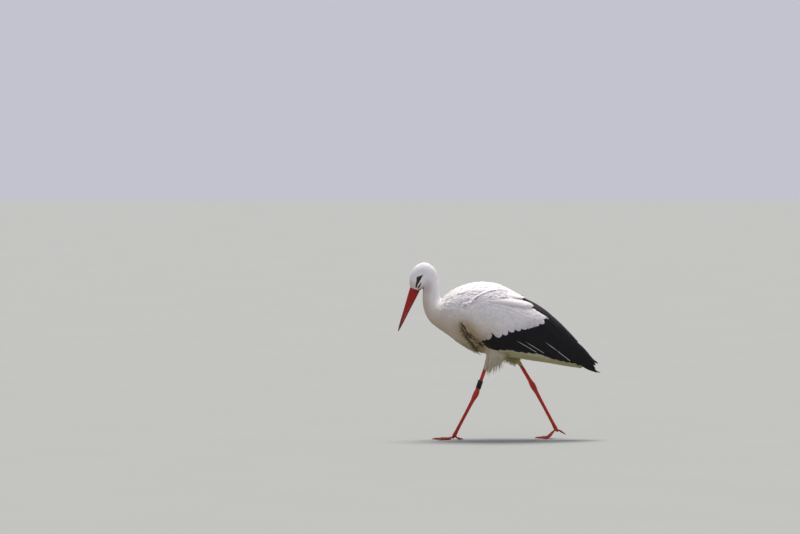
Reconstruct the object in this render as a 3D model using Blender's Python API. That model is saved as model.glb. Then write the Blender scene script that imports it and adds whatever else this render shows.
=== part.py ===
"""A white stork, life size, walking with its head lowered to look for food.

+Z is up, the bird faces -X, and its left side is at -Y. The origin is on the floor, under the middle
of the bird's box. Every solid has the outer shape of its plumage, out to the tips of the feathers.
"""

import math

import bmesh
import bpy
from mathutils import Matrix, Vector

# Driving dimensions, in metres.
LENGTH = 0.760  # bill tip to wing tips, in this stance
UNIT = LENGTH / 800  # the tables below count in these, each a little under a millimetre
GAP = 0.00035  # clearance between pieces that meet

LEFT, RIGHT = -1, 1
SIDES = {"left": LEFT, "right": RIGHT}

# Head, neck, trunk and tail are one form. Each row is a section across it: where it meets the back's
# outline (x, z), where it meets the belly's (x, z), the half width, and how square it is (2 is an
# ellipse). The sections fan round the throat, and round the notch between neck and mantle.
BODY = (
    (-351.2, 609, -313.5, 594, 16, 2.1),
    (-353.5, 628, -308, 600, 21, 2.1),
    (-352, 652, -304.5, 604.5, 25, 2.1),
    (-343, 676, -302.5, 607, 27.5, 2.1),
    (-324, 698, -301.5, 608.5, 29, 2.1),
    (-296, 709, -300.5, 609, 29, 2.1),
    (-270, 700, -299.8, 608.5, 28.5, 2.1),
    (-250, 680, -299.4, 607, 27.8, 2.1),
    (-240, 651, -299.2, 604, 27, 2.1),
    (-237, 622, -299.2, 598, 27, 2.1),
    (-236, 596, -300.5, 582, 29, 2.1),
    (-233, 575, -300.8, 556, 34, 2.1),
    (-229, 563.5, -296, 522, 42, 2.1),
    (-227, 561, -284, 491, 50, 2.15),
    (-224, 562.5, -265, 465, 58, 2.2),
    (-217, 569, -238, 444, 66, 2.25),
    (-200, 583, -204, 421, 74, 2.3),
    (-178, 600, -176, 400, 80, 2.35),
    (-144, 615, -144, 379, 87, 2.4),
    (-104, 626, -104, 356, 93, 2.4),
    (-60, 630, -60, 344, 98, 2.4),
    (-4, 623, -4, 337, 101, 2.4),
    (50, 600, 50, 329, 99, 2.4),
    (90, 568, 90, 323, 92, 2.4),
    (120, 544, 120, 318, 84, 2.4),
    (160, 512, 160, 312, 73, 2.4),
    (200, 474, 200, 306, 61, 2.4),
    (240, 430, 240, 299, 51, 2.4),
    (280, 376, 280, 292, 43, 2.4),
    (310, 330, 310, 288, 38, 2.4),
    (335, 298, 335, 285, 32, 2.4),
)
BODY_POINTS = 18  # round each section
FIRST_TRUNK_ROW = 14  # the first row behind the neck
# Outer surface of the folded wings, in the same columns.
WINGS = (
    (-150, 614, 384, 93),
    (-100, 628, 356, 106),
    (-50, 631, 343, 113),
    (0, 623, 336, 115),
    (50, 601, 330, 112),
    (104, 571, 322, 103),
    (141, 553, 316, 93),
    (187, 523, 309, 80),
    (233, 483, 298, 66),
    (261, 456, 289, 58),
    (281, 430, 280, 53),
    (316, 397, 266, 44),
    (345, 368, 254, 34),
    (371, 338, 244, 21),
    (400, 300, 236, 10),
)
WING_SQUARENESS = 2.4

# The head's own frame: distances behind the bill's base and above the bill's axis.
BILL_BASE = Vector((-331, 0, 603))
BACKWARD = Vector((0.372, 0, 0.928)).normalized()
CROWNWARD = Vector((-BACKWARD.z, 0, BACKWARD.x))
EYE_RADIUS = 8.5
EYE_BACK = 44.5  # behind the bill
EYE_HIGH = 2.5  # above the bill's axis
EYE_SIDE = 21.3

# Bill: distance before the base, the ridge's height, the mouth line's height, the keel's depth, half width.
BILL = (
    (2.4, 21, -4.5, 20, 13.5),
    (25, 19, -3.8, 18.4, 12),
    (60, 15.2, -2.8, 14.8, 9.8),
    (100, 11.4, -1.8, 10.6, 7.4),
    (132, 8.8, -1, 8, 5.6),
    (158, 5.8, -0.5, 5.4, 4),
    (174, 3.2, -0.2, 3, 2.6),
    (183, 1.3, 0, 1.3, 1.3),
)
MOUTH_GAP = 0.5

# Feathered thighs: x and z of the middle, the half thickness, and the half width.
THIGH_LEFT = (
    (4, 412, 44, 26),
    (0, 372, 46, 27),
    (-9, 340, 41, 25),
    (-21, 320, 32, 20),
    (-35, 305, 21, 15),
    (-47, 295, 12, 10.5),
)
THIGH_RIGHT = (
    (20, 412, 44, 26),
    (34, 372, 46, 27),
    (50, 344, 40, 25),
    (62, 328, 29, 19),
    (73, 317, 19, 14),
    (83, 308, 11.5, 10.5),
)
THIGH_SIDE = 43

# Legs: where the shin starts inside the thigh, the ankle, and the knuckle that carries the toes.
LEGS = {
    "left": (Vector((-40, -45, 318)), Vector((-87, -44, 186)), Vector((-177, -31, 12.5))),
    "right": (Vector((75, 45, 324)), Vector((140, 44, 215)), Vector((236, 31, 35))),
}
# Share of the way down, half thickness seen from the side, half width.
SHIN = (
    (0, 8.0, 6.8),
    (0.35, 7.3, 6.2),
    (0.7, 7.4, 6.4),
    (0.86, 8.3, 7.2),
    (1, 11.8, 9.8),
)
SHANK = (
    (0, 11.8, 9.8),
    (0.045, 11.8, 9.6),
    (0.10, 10.2, 8.4),
    (0.17, 8.0, 6.6),
    (0.5, 6.8, 5.6),
    (0.86, 6.9, 6.0),
    (0.94, 8.2, 7.6),
    (1, 8.8, 8.8),
    (1.035, 6.6, 6.8),
    (1.05, 3.0, 3.2),
)
# Toes: heading in degrees from straight ahead, outwards, and length from the knuckle to the claw.
TOES = {"inner": (-36, 60), "middle": (0, 78), "outer": (36, 68), "hind": (172, 30)}
TOE_START = 8  # from the knuckle's middle, inside it
TOE_ROOT = (2.6, 0.2)  # half width where a toe starts, and how much it widens in each unit of length
TOE_REST = 3.7  # height of a toe's middle on the floor, low enough to flatten its sole
TOE_WIDTH = (5.4, 3.8)  # half widths that a toe tapers between
KNUCKLES = {"inner": 3, "middle": 3, "outer": 3, "hind": 2}  # swellings along each toe
KNUCKLE_SWELL = 0.35
REACH = {"left": 26, "right": 46}  # how far out the toes come down to the floor
RAISED_HIND_TOE = 15.8  # how far above the floor the right foot holds its hind toe
CLAW_LENGTH = 10
CLAW_WIDTH = (3.05, 0.35)  # half widths at the root and the tip
CLAW_DROP = (0.8, 2.8)  # its root's height above the toe's middle, and how far its tip bends down

# Leg ring: its middle's share of the way down the left shin, its length, and its two radii.
LEG_RING = (0.735, 34, 10.9, 9.3)

# Feather groups of a folded wing. Each edge is x, then the height at which it ends.
SEAM = 1.0  # between two groups
SCAPULARS_TOP = ((-104, 567), (-60, 590), (0, 604), (50, 597), (104, 566), (134, 539))
SCAPULARS_LOW = ((-104, 561), (-60, 546), (-14, 533), (40, 529), (90, 525), (134, 533))
COVERTS_TOP = (
    (-145, 514),
    (-141, 535),
    (-130, 552),
    (-104, 559),
    (-60, 545),
    (-14, 532),
    (40, 528),
    (90, 524),
    (132, 531),
    (160, 509),
    (187, 489),
    (195, 481),
)
COVERTS_LOW = (
    (-145, 502),
    (-139, 472),
    (-122, 440),
    (-102, 414),
    (-79, 391),
    (-60, 397),
    (-42, 408),
    (0, 419),
    (50, 435),
    (109, 446),
    (169, 463),
    (195, 475),
)
TERTIALS_LOW = ((105, 567), (134, 541), (160, 512), (187, 492), (202, 482), (240, 452), (301, 402))
SECONDARIES_TOP = (
    (-54, 400),
    (-42, 407),
    (0, 418),
    (50, 434),
    (109, 445),
    (169, 462),
    (196, 470),
    (208, 474),
    (240, 451),
    (301, 401),
)
SECONDARIES_LOW = (
    (-54, 394),
    (-42, 378),
    (-15, 364),
    (22, 357),
    (50, 361),
    (95, 350),
    (141, 347),
    (187, 341),
    (233, 322),
    (301, 306),
)
PRIMARIES_TOP = ((303, 407), (316, 396), (348, 366), (371, 338), (392, 311), (400, 294))
PRIMARIES_LOW = ((303, 306), (339, 296), (380, 272), (392, 261), (400, 262))
RIDGE = ((105, 700), (301, 700))  # above the wings, so that the group reaches the bird's middle
# Group: its upper edge, its lower edge, the edges of other groups that it stays below, how thick its
# feathers lie at the front and at the back.
FEATHER_GROUPS = {
    "scapulars": (SCAPULARS_TOP, SCAPULARS_LOW, (TERTIALS_LOW,), 12, 8),
    "coverts": (COVERTS_TOP, COVERTS_LOW, (SCAPULARS_LOW, TERTIALS_LOW), 15, 8),
    "tertials": (RIDGE, TERTIALS_LOW, (), 10, 7),
    "secondaries": (SECONDARIES_TOP, SECONDARIES_LOW, (COVERTS_LOW, TERTIALS_LOW), 12, 7),
    "primaries": (PRIMARIES_TOP, PRIMARIES_LOW, (), 7, 4),
}
GROUP_STEP = 19  # all groups have a section at each multiple of this along x, so that edges match
ACROSS_GROUP = 5  # points from a group's upper edge to its lower edge


def read(rows, at):
    """The values at `at` on smooth curves through the rows, which never overshoot."""
    last = len(rows) - 1
    at = min(max(at, rows[0][0]), rows[last][0])
    i = next(k for k in range(last) if at <= rows[k + 1][0])
    span = rows[i + 1][0] - rows[i][0]
    t = (at - rows[i][0]) / span
    values = []
    for column in range(1, len(rows[0])):
        slopes = [(b[column] - a[column]) / (b[0] - a[0]) for a, b in zip(rows, rows[1:])]

        def tangent(k):
            if k in (0, last):
                return slopes[min(k, last - 1)]
            a, b = slopes[k - 1], slopes[k]
            return 0 if a * b <= 0 else 2 * a * b / (a + b)

        values.append(
            (1 + 2 * t) * (1 - t) ** 2 * rows[i][column]
            + t * (1 - t) ** 2 * span * tangent(i)
            + t * t * (3 - 2 * t) * rows[i + 1][column]
            - t * t * (1 - t) * span * tangent(i + 1)
        )
    return values


def spaced(low, high, count):
    """Even steps from low to high, both included."""
    return [low + (high - low) * k / (count - 1) for k in range(count)]


def eased(low, high, count):
    """Steps from low to high that crowd towards both ends."""
    return [low + (high - low) * (1 - math.cos(math.pi * k / (count - 1))) / 2 for k in range(count)]


def oval(middle, out, up, wide, above, below, count, squareness=2.0):
    """A ring of points: a superellipse with its own height above and below the middle."""
    ring = []
    for k in range(count):
        turn = 2 * math.pi * (k + 0.5) / count
        across = math.copysign(abs(math.cos(turn)) ** (2 / squareness), math.cos(turn))
        along = math.copysign(abs(math.sin(turn)) ** (2 / squareness), math.sin(turn))
        ring.append(middle + out * wide * across + up * (above if along > 0 else below) * along)
    return ring


def paint(name, colour, roughness, coat=0.0):
    """A Principled BSDF material."""
    material = bpy.data.materials.get(name) or bpy.data.materials.new(name)
    material.use_nodes = True
    shader = material.node_tree.nodes["Principled BSDF"]
    shader.inputs["Base Color"].default_value = (*colour, 1)
    shader.inputs["Roughness"].default_value = roughness
    shader.inputs["Metallic"].default_value = 0
    shader.inputs["Coat Weight"].default_value = coat
    return material


WHITE = paint("white_plumage", (0.80, 0.78, 0.74), 0.85)
BLACK = paint("black_plumage", (0.014, 0.014, 0.018), 0.45)
RED_LEG = paint("red_leg", (0.56, 0.045, 0.02), 0.50)
RED_BILL = paint("red_bill", (0.50, 0.02, 0.012), 0.38)
CLAW = paint("claw", (0.05, 0.035, 0.03), 0.45)
EYE = paint("eye", (0.012, 0.009, 0.008), 0.06, coat=1.0)
RING_PLASTIC = paint("ring_plastic", (0.015, 0.017, 0.022), 0.35)


def made_object(name, mesh, material):
    """Turns a finished bmesh, which is in UNITs, into a smooth-shaded object in metres."""
    bmesh.ops.recalc_face_normals(mesh, faces=mesh.faces)
    bmesh.ops.scale(mesh, vec=(UNIT,) * 3, verts=mesh.verts)
    data = bpy.data.meshes.new(name)
    mesh.to_mesh(data)
    mesh.free()
    data.shade_smooth()
    data.set_sharp_from_angle(angle=math.radians(50))
    data.materials.append(material)
    made = bpy.data.objects.new(name, data)
    bpy.context.scene.collection.objects.link(made)
    return made


def lofted(name, rings, material):
    """A closed solid through the rings, with a flat cap at each end."""
    mesh = bmesh.new()
    loops = []
    for ring in rings:
        points = [mesh.verts.new(point) for point in ring]
        loops.append([mesh.edges.new(pair) for pair in zip(points, points[1:] + points[:1])])
    for loop, following in zip(loops, loops[1:]):
        bmesh.ops.bridge_loops(mesh, edges=loop + following)
    for end in (loops[0], loops[-1]):
        bmesh.ops.contextual_create(mesh, geom=end)
    return made_object(name, mesh, material)


def bent(name, rows, side, material, count, rings):
    """A loft along rows of x, z, half thickness and half width, bending in the bird's own plane."""
    travelled = [0.0]
    for a, b in zip(rows, rows[1:]):
        travelled.append(travelled[-1] + math.dist(a[:2], b[:2]))
    table = [(at, *row) for at, row in zip(travelled, rows)]
    step = travelled[-1] / 200
    sections = []
    for at in spaced(0, travelled[-1], rings):
        x, z, thick, wide = read(table, at)
        before, after = read(table, at - step), read(table, at + step)
        ahead = Vector((after[0] - before[0], 0, after[1] - before[1])).normalized()
        up = Vector((ahead.z, 0, -ahead.x))
        sections.append(oval(Vector((x, side, z)), Vector((0, 1, 0)), up, wide, thick, thick, count, 2.1))
    return lofted(name, sections, material)


def as_cutter(made):
    """A hidden copy of an object, grown by GAP."""
    cutter = made.copy()
    cutter.data = made.data.copy()
    cutter.name = "cutter_" + made.name
    cutter.hide_render = True
    cutter.display_type = "WIRE"
    bpy.context.scene.collection.objects.link(cutter)
    swell = cutter.modifiers.new("grow", "DISPLACE")
    swell.mid_level = 0
    swell.strength = GAP
    return cutter


def boolean(made, operation, cutter, use_self=False):
    """Adds a Boolean of that kind to the object. use_self copes with a shape that folds onto itself."""
    modifier = made.modifiers.new(operation.lower(), "BOOLEAN")
    modifier.operation = operation
    modifier.object = cutter
    modifier.use_self = use_self


def beyond(name, place, facing, clearance=0.0):
    """A hidden block that fills the side of a plane that `facing` points to."""
    reach = 900
    mesh = bmesh.new()
    bmesh.ops.create_cube(mesh, size=reach)
    bmesh.ops.translate(mesh, vec=(0, 0, reach / 2 + clearance / UNIT), verts=mesh.verts)
    turned = Vector(facing).to_track_quat("Z", "Y").to_matrix().to_4x4()
    bmesh.ops.transform(mesh, matrix=Matrix.Translation(place) @ turned, verts=mesh.verts)
    block = made_object(name, mesh, WHITE)
    block.hide_render = True
    block.display_type = "WIRE"
    return block


def head_point(back, up, side=0.0):
    """A point in the head's own frame: behind the bill, above its axis, and to one side."""
    return BILL_BASE + BACKWARD * back + CROWNWARD * up + Vector((0, side, 0))


# The flesh: trunk, tail, neck and head are modelled as one body, which thin cuts then part.


def flesh(name, first_row):
    """The feathered body in one piece, from a row of BODY on, with extra rings in the head and neck."""
    rows = [(number, *row) for number, row in enumerate(BODY)]
    extra = [number + 0.5 for number in range(first_row, FIRST_TRUNK_ROW)]
    rings = []
    for at in sorted([*range(first_row, len(BODY)), *extra]):
        back_x, back_z, belly_x, belly_z, wide, squareness = read(rows, at)
        back, belly = Vector((back_x, 0, back_z)), Vector((belly_x, 0, belly_z))
        half = (back - belly).length / 2
        up = (back - belly).normalized()
        middle = (back + belly) / 2
        rings.append(oval(middle, Vector((0, 1, 0)), up, wide, half, half, BODY_POINTS, squareness))
    body = lofted(name, rings, WHITE)
    body.hide_render = True
    body.display_type = "WIRE"
    return body


NECK_CUT = (Vector((-299, 0, 603)), Vector((-0.6, 0, 0.8)))  # place, and the way the head lies
TRUNK_CUT = (Vector((-226, 0, 561)), Vector((0.94, 0, -0.34)))  # the way the trunk lies
TAIL_CUT = (Vector((160, 0, 400)), Vector((0.88, 0, -0.47)))  # the way the tail lies


def part_body(body):
    """Head, neck, trunk and tail, each cut from the whole body."""
    head_side = beyond("cut_head", *NECK_CUT)
    not_head = beyond("cut_not_head", *NECK_CUT, -GAP)
    trunk_side = beyond("cut_trunk", *TRUNK_CUT)
    not_neck = beyond("cut_not_neck", *TRUNK_CUT, -GAP)
    tail_side = beyond("cut_tail", *TAIL_CUT)
    not_trunk = beyond("cut_not_trunk", *TAIL_CUT, -GAP)
    steps = {
        "head": [("INTERSECT", head_side)],
        "neck": [("DIFFERENCE", not_head), ("DIFFERENCE", not_neck)],
        "trunk": [("INTERSECT", trunk_side), ("DIFFERENCE", not_trunk)],
        "tail": [("INTERSECT", tail_side)],
    }
    nodes = {}
    for name, cuts in steps.items():
        node = body.copy()
        node.data = body.data.copy()
        node.name = name
        node.hide_render = False
        node.display_type = "TEXTURED"
        bpy.context.scene.collection.objects.link(node)
        for operation, cutter in cuts:
            boolean(node, operation, cutter)
        nodes[name] = node
    return nodes


def eyes(head):
    """Two eyeballs, and the sockets that they sit in."""
    for name, side in SIDES.items():
        for grow in (0, GAP / UNIT):
            mesh = bmesh.new()
            bmesh.ops.create_uvsphere(mesh, u_segments=12, v_segments=7, radius=EYE_RADIUS + grow)
            bmesh.ops.rotate(mesh, matrix=Matrix.Rotation(math.pi / 2, 3, "X"), verts=mesh.verts)
            bmesh.ops.translate(mesh, vec=head_point(EYE_BACK, EYE_HIGH, side * EYE_SIDE), verts=mesh.verts)
            ball = made_object(("socket_" if grow else "eye_") + name, mesh, EYE)
            if grow:
                ball.hide_render = True
                ball.display_type = "WIRE"
                boolean(head, "DIFFERENCE", ball)


def bill():
    """Upper and lower halves of the closed bill, which butt against the feathers of the face."""
    upper, lower = [], []
    for out in eased(BILL[0][0], BILL[-1][0], 9):
        ridge, mouth, keel, wide = read(BILL, out)
        half = MOUTH_GAP / 2 if out < 150 else 0.15
        y = Vector((0, 1, 0))
        upper.append(oval(head_point(-out, mouth + half), y, CROWNWARD, wide, ridge - mouth, 0.01, 14, 1.9))
        lower.append(oval(head_point(-out, mouth - half), y, CROWNWARD, wide, 0.01, keel + mouth, 14, 1.9))
    lofted("bill_upper", upper, RED_BILL)
    lofted("bill_lower", lower, RED_BILL)


# The wings: each feather group is a curved plate that lies on the body.


def wing_place(x, turn, side, depth):
    """A point on the folded wing, `depth` under its surface. turn is 90 degrees at the ridge."""
    top, bottom, wide = read(WINGS, x)
    half = (top - bottom) / 2
    up = math.copysign(abs(math.sin(turn)) ** (2 / WING_SQUARENESS), math.sin(turn))
    out = max(math.cos(turn), 0) ** (2 / WING_SQUARENESS)
    beside_ridge = 0.5
    y = max((wide - depth) * out, beside_ridge)
    return Vector((x, side * y, bottom + half + (half - depth) * up))


def wing_turn(x, z):
    """The turn at which the wing's surface is at height z."""
    top, bottom, _ = read(WINGS, x)
    half = (top - bottom) / 2
    share = max(-0.999, min((z - bottom - half) / half, 0.9999))
    return math.copysign(math.asin(abs(share) ** (WING_SQUARENESS / 2)), share)


def feather_group(name, side, upper, lower, above, front, back, cutters):
    """One group of wing feathers, trimmed where the body or thigh lies under it."""
    rings = []
    start, end = lower[0][0], lower[-1][0]
    steps = range(math.ceil((start + 3) / GROUP_STEP), math.floor((end - 3) / GROUP_STEP) + 1)
    for x in (start, start + 3, *(step * GROUP_STEP for step in steps), end - 3, end):
        thick = front + (back - front) * (x - start) / (end - start)
        roof = [read(edge, x)[0] - SEAM for edge in above if edge[0][0] - SEAM <= x <= edge[-1][0] + SEAM]
        high = wing_turn(x, min([read(upper, x)[0], *roof]))
        low = wing_turn(x, read(lower, x)[0])
        turns = spaced(high, low, ACROSS_GROUP)
        outer = [wing_place(x, turn, side, 0) for turn in turns]
        inner = [wing_place(x, turn, side, thick) for turn in reversed(turns)]
        rings.append(outer + inner)
    plate = lofted(name, rings, BLACK if name.startswith(("tert", "sec", "prim")) else WHITE)
    for cutter in cutters:
        boolean(plate, "DIFFERENCE", cutter, use_self=True)


# Legs and feet.


def limb(name, start, end, rows, count, rings, material, first=None, last=None):
    """A straight stretch of leg. first and last turn its end rings to face the next stretch."""
    ahead = (end - start).normalized()
    far = (end - start).length
    sections = []
    for share in spaced(rows[0][0], rows[-1][0], rings):
        thick, wide = read(rows, share)
        facing = ahead
        if first and share == rows[0][0]:
            facing = first
        if last and share == rows[-1][0]:
            facing = last
        out = (Vector((0, 1, 0)) - facing * facing.y).normalized()
        sections.append(oval(start + ahead * far * share, out, facing.cross(out), wide, thick, thick, count))
    return lofted(name, sections, material)


def toe(side_name, name, knuckle, shank_cutter):
    """A toe that comes down to the floor and lies on it, and its claw."""
    heading, length = TOES[name]
    turn = math.radians(heading) * SIDES[side_name]
    ahead = Vector((-math.cos(turn), math.sin(turn), 0))
    out, up = Vector((-ahead.y, ahead.x, 0)), Vector((0, 0, 1))
    rest = RAISED_HIND_TOE if (side_name, name) == ("right", "hind") else TOE_REST

    def place(far):
        sink = min(far / REACH[side_name], 1)
        height = knuckle.z + (rest - knuckle.z) * sink * sink * (3 - 2 * sink)
        return Vector((knuckle.x, knuckle.y, height)) + ahead * far

    sections = []
    for far in spaced(TOE_START, length, 9):
        share = (far - TOE_START) / (length - TOE_START)
        swell = KNUCKLE_SWELL * math.cos(2 * math.pi * share * KNUCKLES[name])
        tapered = TOE_WIDTH[0] + (TOE_WIDTH[1] - TOE_WIDTH[0]) * share + swell
        wide = min(TOE_ROOT[0] + TOE_ROOT[1] * (far - TOE_START), tapered)
        sections.append(oval(place(far), out, up, wide, wide * 0.95, wide * 1.1, 8, 2.2))
    claw = []
    for share in spaced(0, 1, 4):
        wide = (CLAW_WIDTH[0] - CLAW_WIDTH[1]) * (1 - share) ** 0.7 + CLAW_WIDTH[1]
        far = length + GAP / UNIT + CLAW_LENGTH * share
        middle = place(far) + up * (CLAW_DROP[0] - CLAW_DROP[1] * share)
        claw.append(oval(middle, out, up, wide, wide, wide, 6))
    for ring in sections + claw:
        for point in ring:
            point.z = max(point.z, 0)
    made = lofted(f"toe_{side_name}_{name}", sections, RED_LEG)
    boolean(made, "DIFFERENCE", shank_cutter)
    lofted(f"claw_{side_name}_{name}", claw, CLAW)


def leg(name, thigh_cutter):
    """Bare shin, shank with its knuckle, four toes and four claws."""
    top, ankle, knuckle = LEGS[name]
    down, on = (ankle - top).normalized(), (knuckle - ankle).normalized()
    between = (down + on).normalized()
    nudge = between * (GAP / UNIT / 2)
    shin = limb(f"shin_{name}", top, ankle - nudge, SHIN, 10, 7, RED_LEG, last=between)
    boolean(shin, "DIFFERENCE", thigh_cutter)
    shank = limb(f"shank_{name}", ankle + nudge, knuckle, SHANK, 10, 15, RED_LEG, first=between)
    shank_cutter = as_cutter(shank)
    for toe_name in TOES:
        toe(name, toe_name, knuckle, shank_cutter)


def leg_ring():
    """A plain plastic ring, loose round the left shin, with the overlap where it was closed."""
    share, length, outer, inner = LEG_RING
    top, ankle, _ = LEGS["left"]
    down = (ankle - top).normalized()
    middle = top + (ankle - top) * share
    mesh = bmesh.new()
    wall = [
        mesh.verts.new((radius, 0, height))
        for radius, height in (
            (inner, -length / 2),
            (outer - 0.5, -length / 2),
            (outer, -length / 2 + 0.5),
            (outer, length / 2 - 0.5),
            (outer - 0.5, length / 2),
            (inner, length / 2),
        )
    ]
    edges = [mesh.edges.new(pair) for pair in zip(wall, wall[1:] + wall[:1])]
    bmesh.ops.spin(
        mesh, geom=wall + edges, axis=(0, 0, 1), cent=(0, 0, 0), steps=18, angle=2 * math.pi, use_merge=True
    )
    turned = down.to_track_quat("Z", "Y").to_matrix().to_4x4()
    bmesh.ops.transform(mesh, matrix=Matrix.Translation(middle) @ turned, verts=mesh.verts)
    made_object("leg_ring", mesh, RING_PLASTIC)


def build():
    for startup in list(bpy.data.objects):
        bpy.data.objects.remove(startup)
    nodes = part_body(flesh("body", 0))
    eyes(nodes["head"])
    bill()
    body_cutter = as_cutter(flesh("rear_body", FIRST_TRUNK_ROW))
    thighs = {}
    for name, rows in (("left", THIGH_LEFT), ("right", THIGH_RIGHT)):
        thigh = bent(f"thigh_{name}", rows, SIDES[name] * THIGH_SIDE, WHITE, 14, 9)
        thighs[name] = as_cutter(thigh)
        boolean(thigh, "DIFFERENCE", body_cutter)
    for name, side in SIDES.items():
        for group, shape in FEATHER_GROUPS.items():
            cutters = [body_cutter]
            if group == "secondaries":
                cutters.append(thighs[name])
            feather_group(f"{group}_{name}", side, *shape, cutters)
        leg(name, thighs[name])
    leg_ring()


build()
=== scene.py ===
import math
import random

import bmesh
import bpy
import numpy as np
from mathutils import Matrix, Vector
from mathutils.bvhtree import BVHTree


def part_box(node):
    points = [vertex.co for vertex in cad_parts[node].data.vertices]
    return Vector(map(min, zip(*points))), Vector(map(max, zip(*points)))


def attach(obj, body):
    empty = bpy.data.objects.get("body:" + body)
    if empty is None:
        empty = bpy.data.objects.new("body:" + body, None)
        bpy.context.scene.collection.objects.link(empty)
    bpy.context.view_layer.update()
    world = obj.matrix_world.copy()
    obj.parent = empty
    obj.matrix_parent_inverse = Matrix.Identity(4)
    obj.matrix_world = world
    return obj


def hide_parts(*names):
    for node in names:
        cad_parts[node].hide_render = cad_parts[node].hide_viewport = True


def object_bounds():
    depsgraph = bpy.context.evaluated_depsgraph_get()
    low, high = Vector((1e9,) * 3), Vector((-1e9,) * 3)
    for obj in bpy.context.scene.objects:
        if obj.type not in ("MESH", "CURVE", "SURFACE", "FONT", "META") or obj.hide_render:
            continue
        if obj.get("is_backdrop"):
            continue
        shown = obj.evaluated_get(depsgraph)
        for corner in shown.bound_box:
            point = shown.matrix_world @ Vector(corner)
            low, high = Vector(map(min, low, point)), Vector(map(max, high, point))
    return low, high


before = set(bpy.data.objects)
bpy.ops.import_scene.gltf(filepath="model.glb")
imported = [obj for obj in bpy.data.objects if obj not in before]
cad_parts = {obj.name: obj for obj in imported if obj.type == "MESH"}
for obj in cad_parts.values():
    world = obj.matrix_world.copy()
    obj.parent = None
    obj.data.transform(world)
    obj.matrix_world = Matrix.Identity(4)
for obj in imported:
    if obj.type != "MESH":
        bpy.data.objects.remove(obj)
cad_low, cad_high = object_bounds()


# Skin: the bird's hide in one piece, from the edge of the bill to the soles. It lies inside the CAD's
# flesh by the depth of the coat, and comes to the surface where the bird is bare: round the eyes, at
# the bill's edge and on the legs. The eyelids are openings cut and turned in round the eyeballs.

UNIT = (cad_high.x - cad_low.x) / 800  # places count in these, each a little under a millimetre
MM = 0.001
SIDES = {"left": -1, "right": 1}


def merged_copy(names, swell=0.0):
    """A bmesh copy of CAD nodes with their loose triangles merged, each pushed outwards by swell."""
    mesh = bmesh.new()
    for name in names:
        mesh.from_mesh(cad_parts[name].data)
    bmesh.ops.remove_doubles(mesh, verts=mesh.verts, dist=MM / 1000)
    mesh.normal_update()
    for vertex, facing in [(vertex, vertex.normal.copy()) for vertex in mesh.verts]:
        vertex.co += facing * swell
    return mesh


def evaluated(mesh, *modifiers):
    """That bmesh after modifiers, each given as its type and a dictionary of its settings."""
    data = bpy.data.meshes.new("bench")
    mesh.to_mesh(data)
    mesh.free()
    bench = bpy.data.objects.new("bench", data)
    bpy.context.scene.collection.objects.link(bench)
    for kind, settings in modifiers:
        modifier = bench.modifiers.new(kind.lower(), kind)
        for key, value in settings.items():
            setattr(modifier, key, value)
    made = bpy.data.meshes.new_from_object(bench.evaluated_get(bpy.context.evaluated_depsgraph_get()))
    bpy.data.objects.remove(bench)
    result = bmesh.new()
    result.from_mesh(made)
    bpy.data.meshes.remove(made)
    bpy.data.meshes.remove(data)
    return result


def drop_crumbs(mesh):
    """Keeps only the largest connected piece of a bmesh."""
    mesh.verts.ensure_lookup_table()
    waiting, islands = set(mesh.verts), []
    while waiting:
        island, reached = set(), [next(iter(waiting))]
        while reached:
            vertex = reached.pop()
            if vertex in waiting:
                waiting.remove(vertex)
                island.add(vertex)
                reached.extend(edge.other_vert(vertex) for edge in vertex.link_edges)
        islands.append(island)
    islands.sort(key=len)
    bmesh.ops.delete(mesh, geom=[v for island in islands[:-1] for v in island], context="VERTS")
    return mesh


def smoothed(mesh, passes):
    """That bmesh with its bumps eased, and its normals brought up to date."""
    axes = {"use_axis_x": True, "use_axis_y": True, "use_axis_z": True}
    for _ in range(passes):
        bmesh.ops.smooth_vert(mesh, verts=mesh.verts, factor=0.5, **axes)
    mesh.normal_update()
    return mesh


def closed_round(names, voxel, passes):
    """One closed, smoothed surface round some CAD nodes, as a bmesh."""
    mesh = evaluated(merged_copy(names, PARTING), ("REMESH", {"mode": "VOXEL", "voxel_size": voxel}))
    return smoothed(drop_crumbs(mesh), passes)


def named(*starts):
    """The CAD nodes whose names start so."""
    return sorted(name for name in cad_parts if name.startswith(starts))


FLESH = named("head", "neck", "trunk", "tail", "thigh", "shin", "shank", "toe")
FEATHER_GROUPS = named("scapulars", "coverts", "tertials", "secondaries", "primaries")
PARTING = 0.8 * MM  # closes the cuts between the CAD's nodes

# The form is the whole bird's outline in one smooth surface. None of it shows: feathers lie on it.
form = closed_round(FLESH + FEATHER_GROUPS, 3 * MM, 3)
FORM = BVHTree.FromBMesh(form)
form.free()

cad_names, cad_triangles = [], bmesh.new()
for cad_name in FLESH + FEATHER_GROUPS:
    cad_triangles.from_mesh(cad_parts[cad_name].data)
    cad_names += [cad_name] * (len(cad_triangles.faces) - len(cad_names))
CAD = BVHTree.FromBMesh(cad_triangles)
cad_triangles.free()


def node_at(point):
    """The name of the CAD node that lies nearest a point."""
    return cad_names[CAD.find_nearest(point)[2]]


# The head's own frame, as the bill's base and the way it points give it.
BILL_BASE = Vector((-331, 0, 603)) * UNIT
BACKWARD = Vector((0.372, 0, 0.928)).normalized()
CROWNWARD = Vector((-BACKWARD.z, 0, BACKWARD.x))
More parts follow.
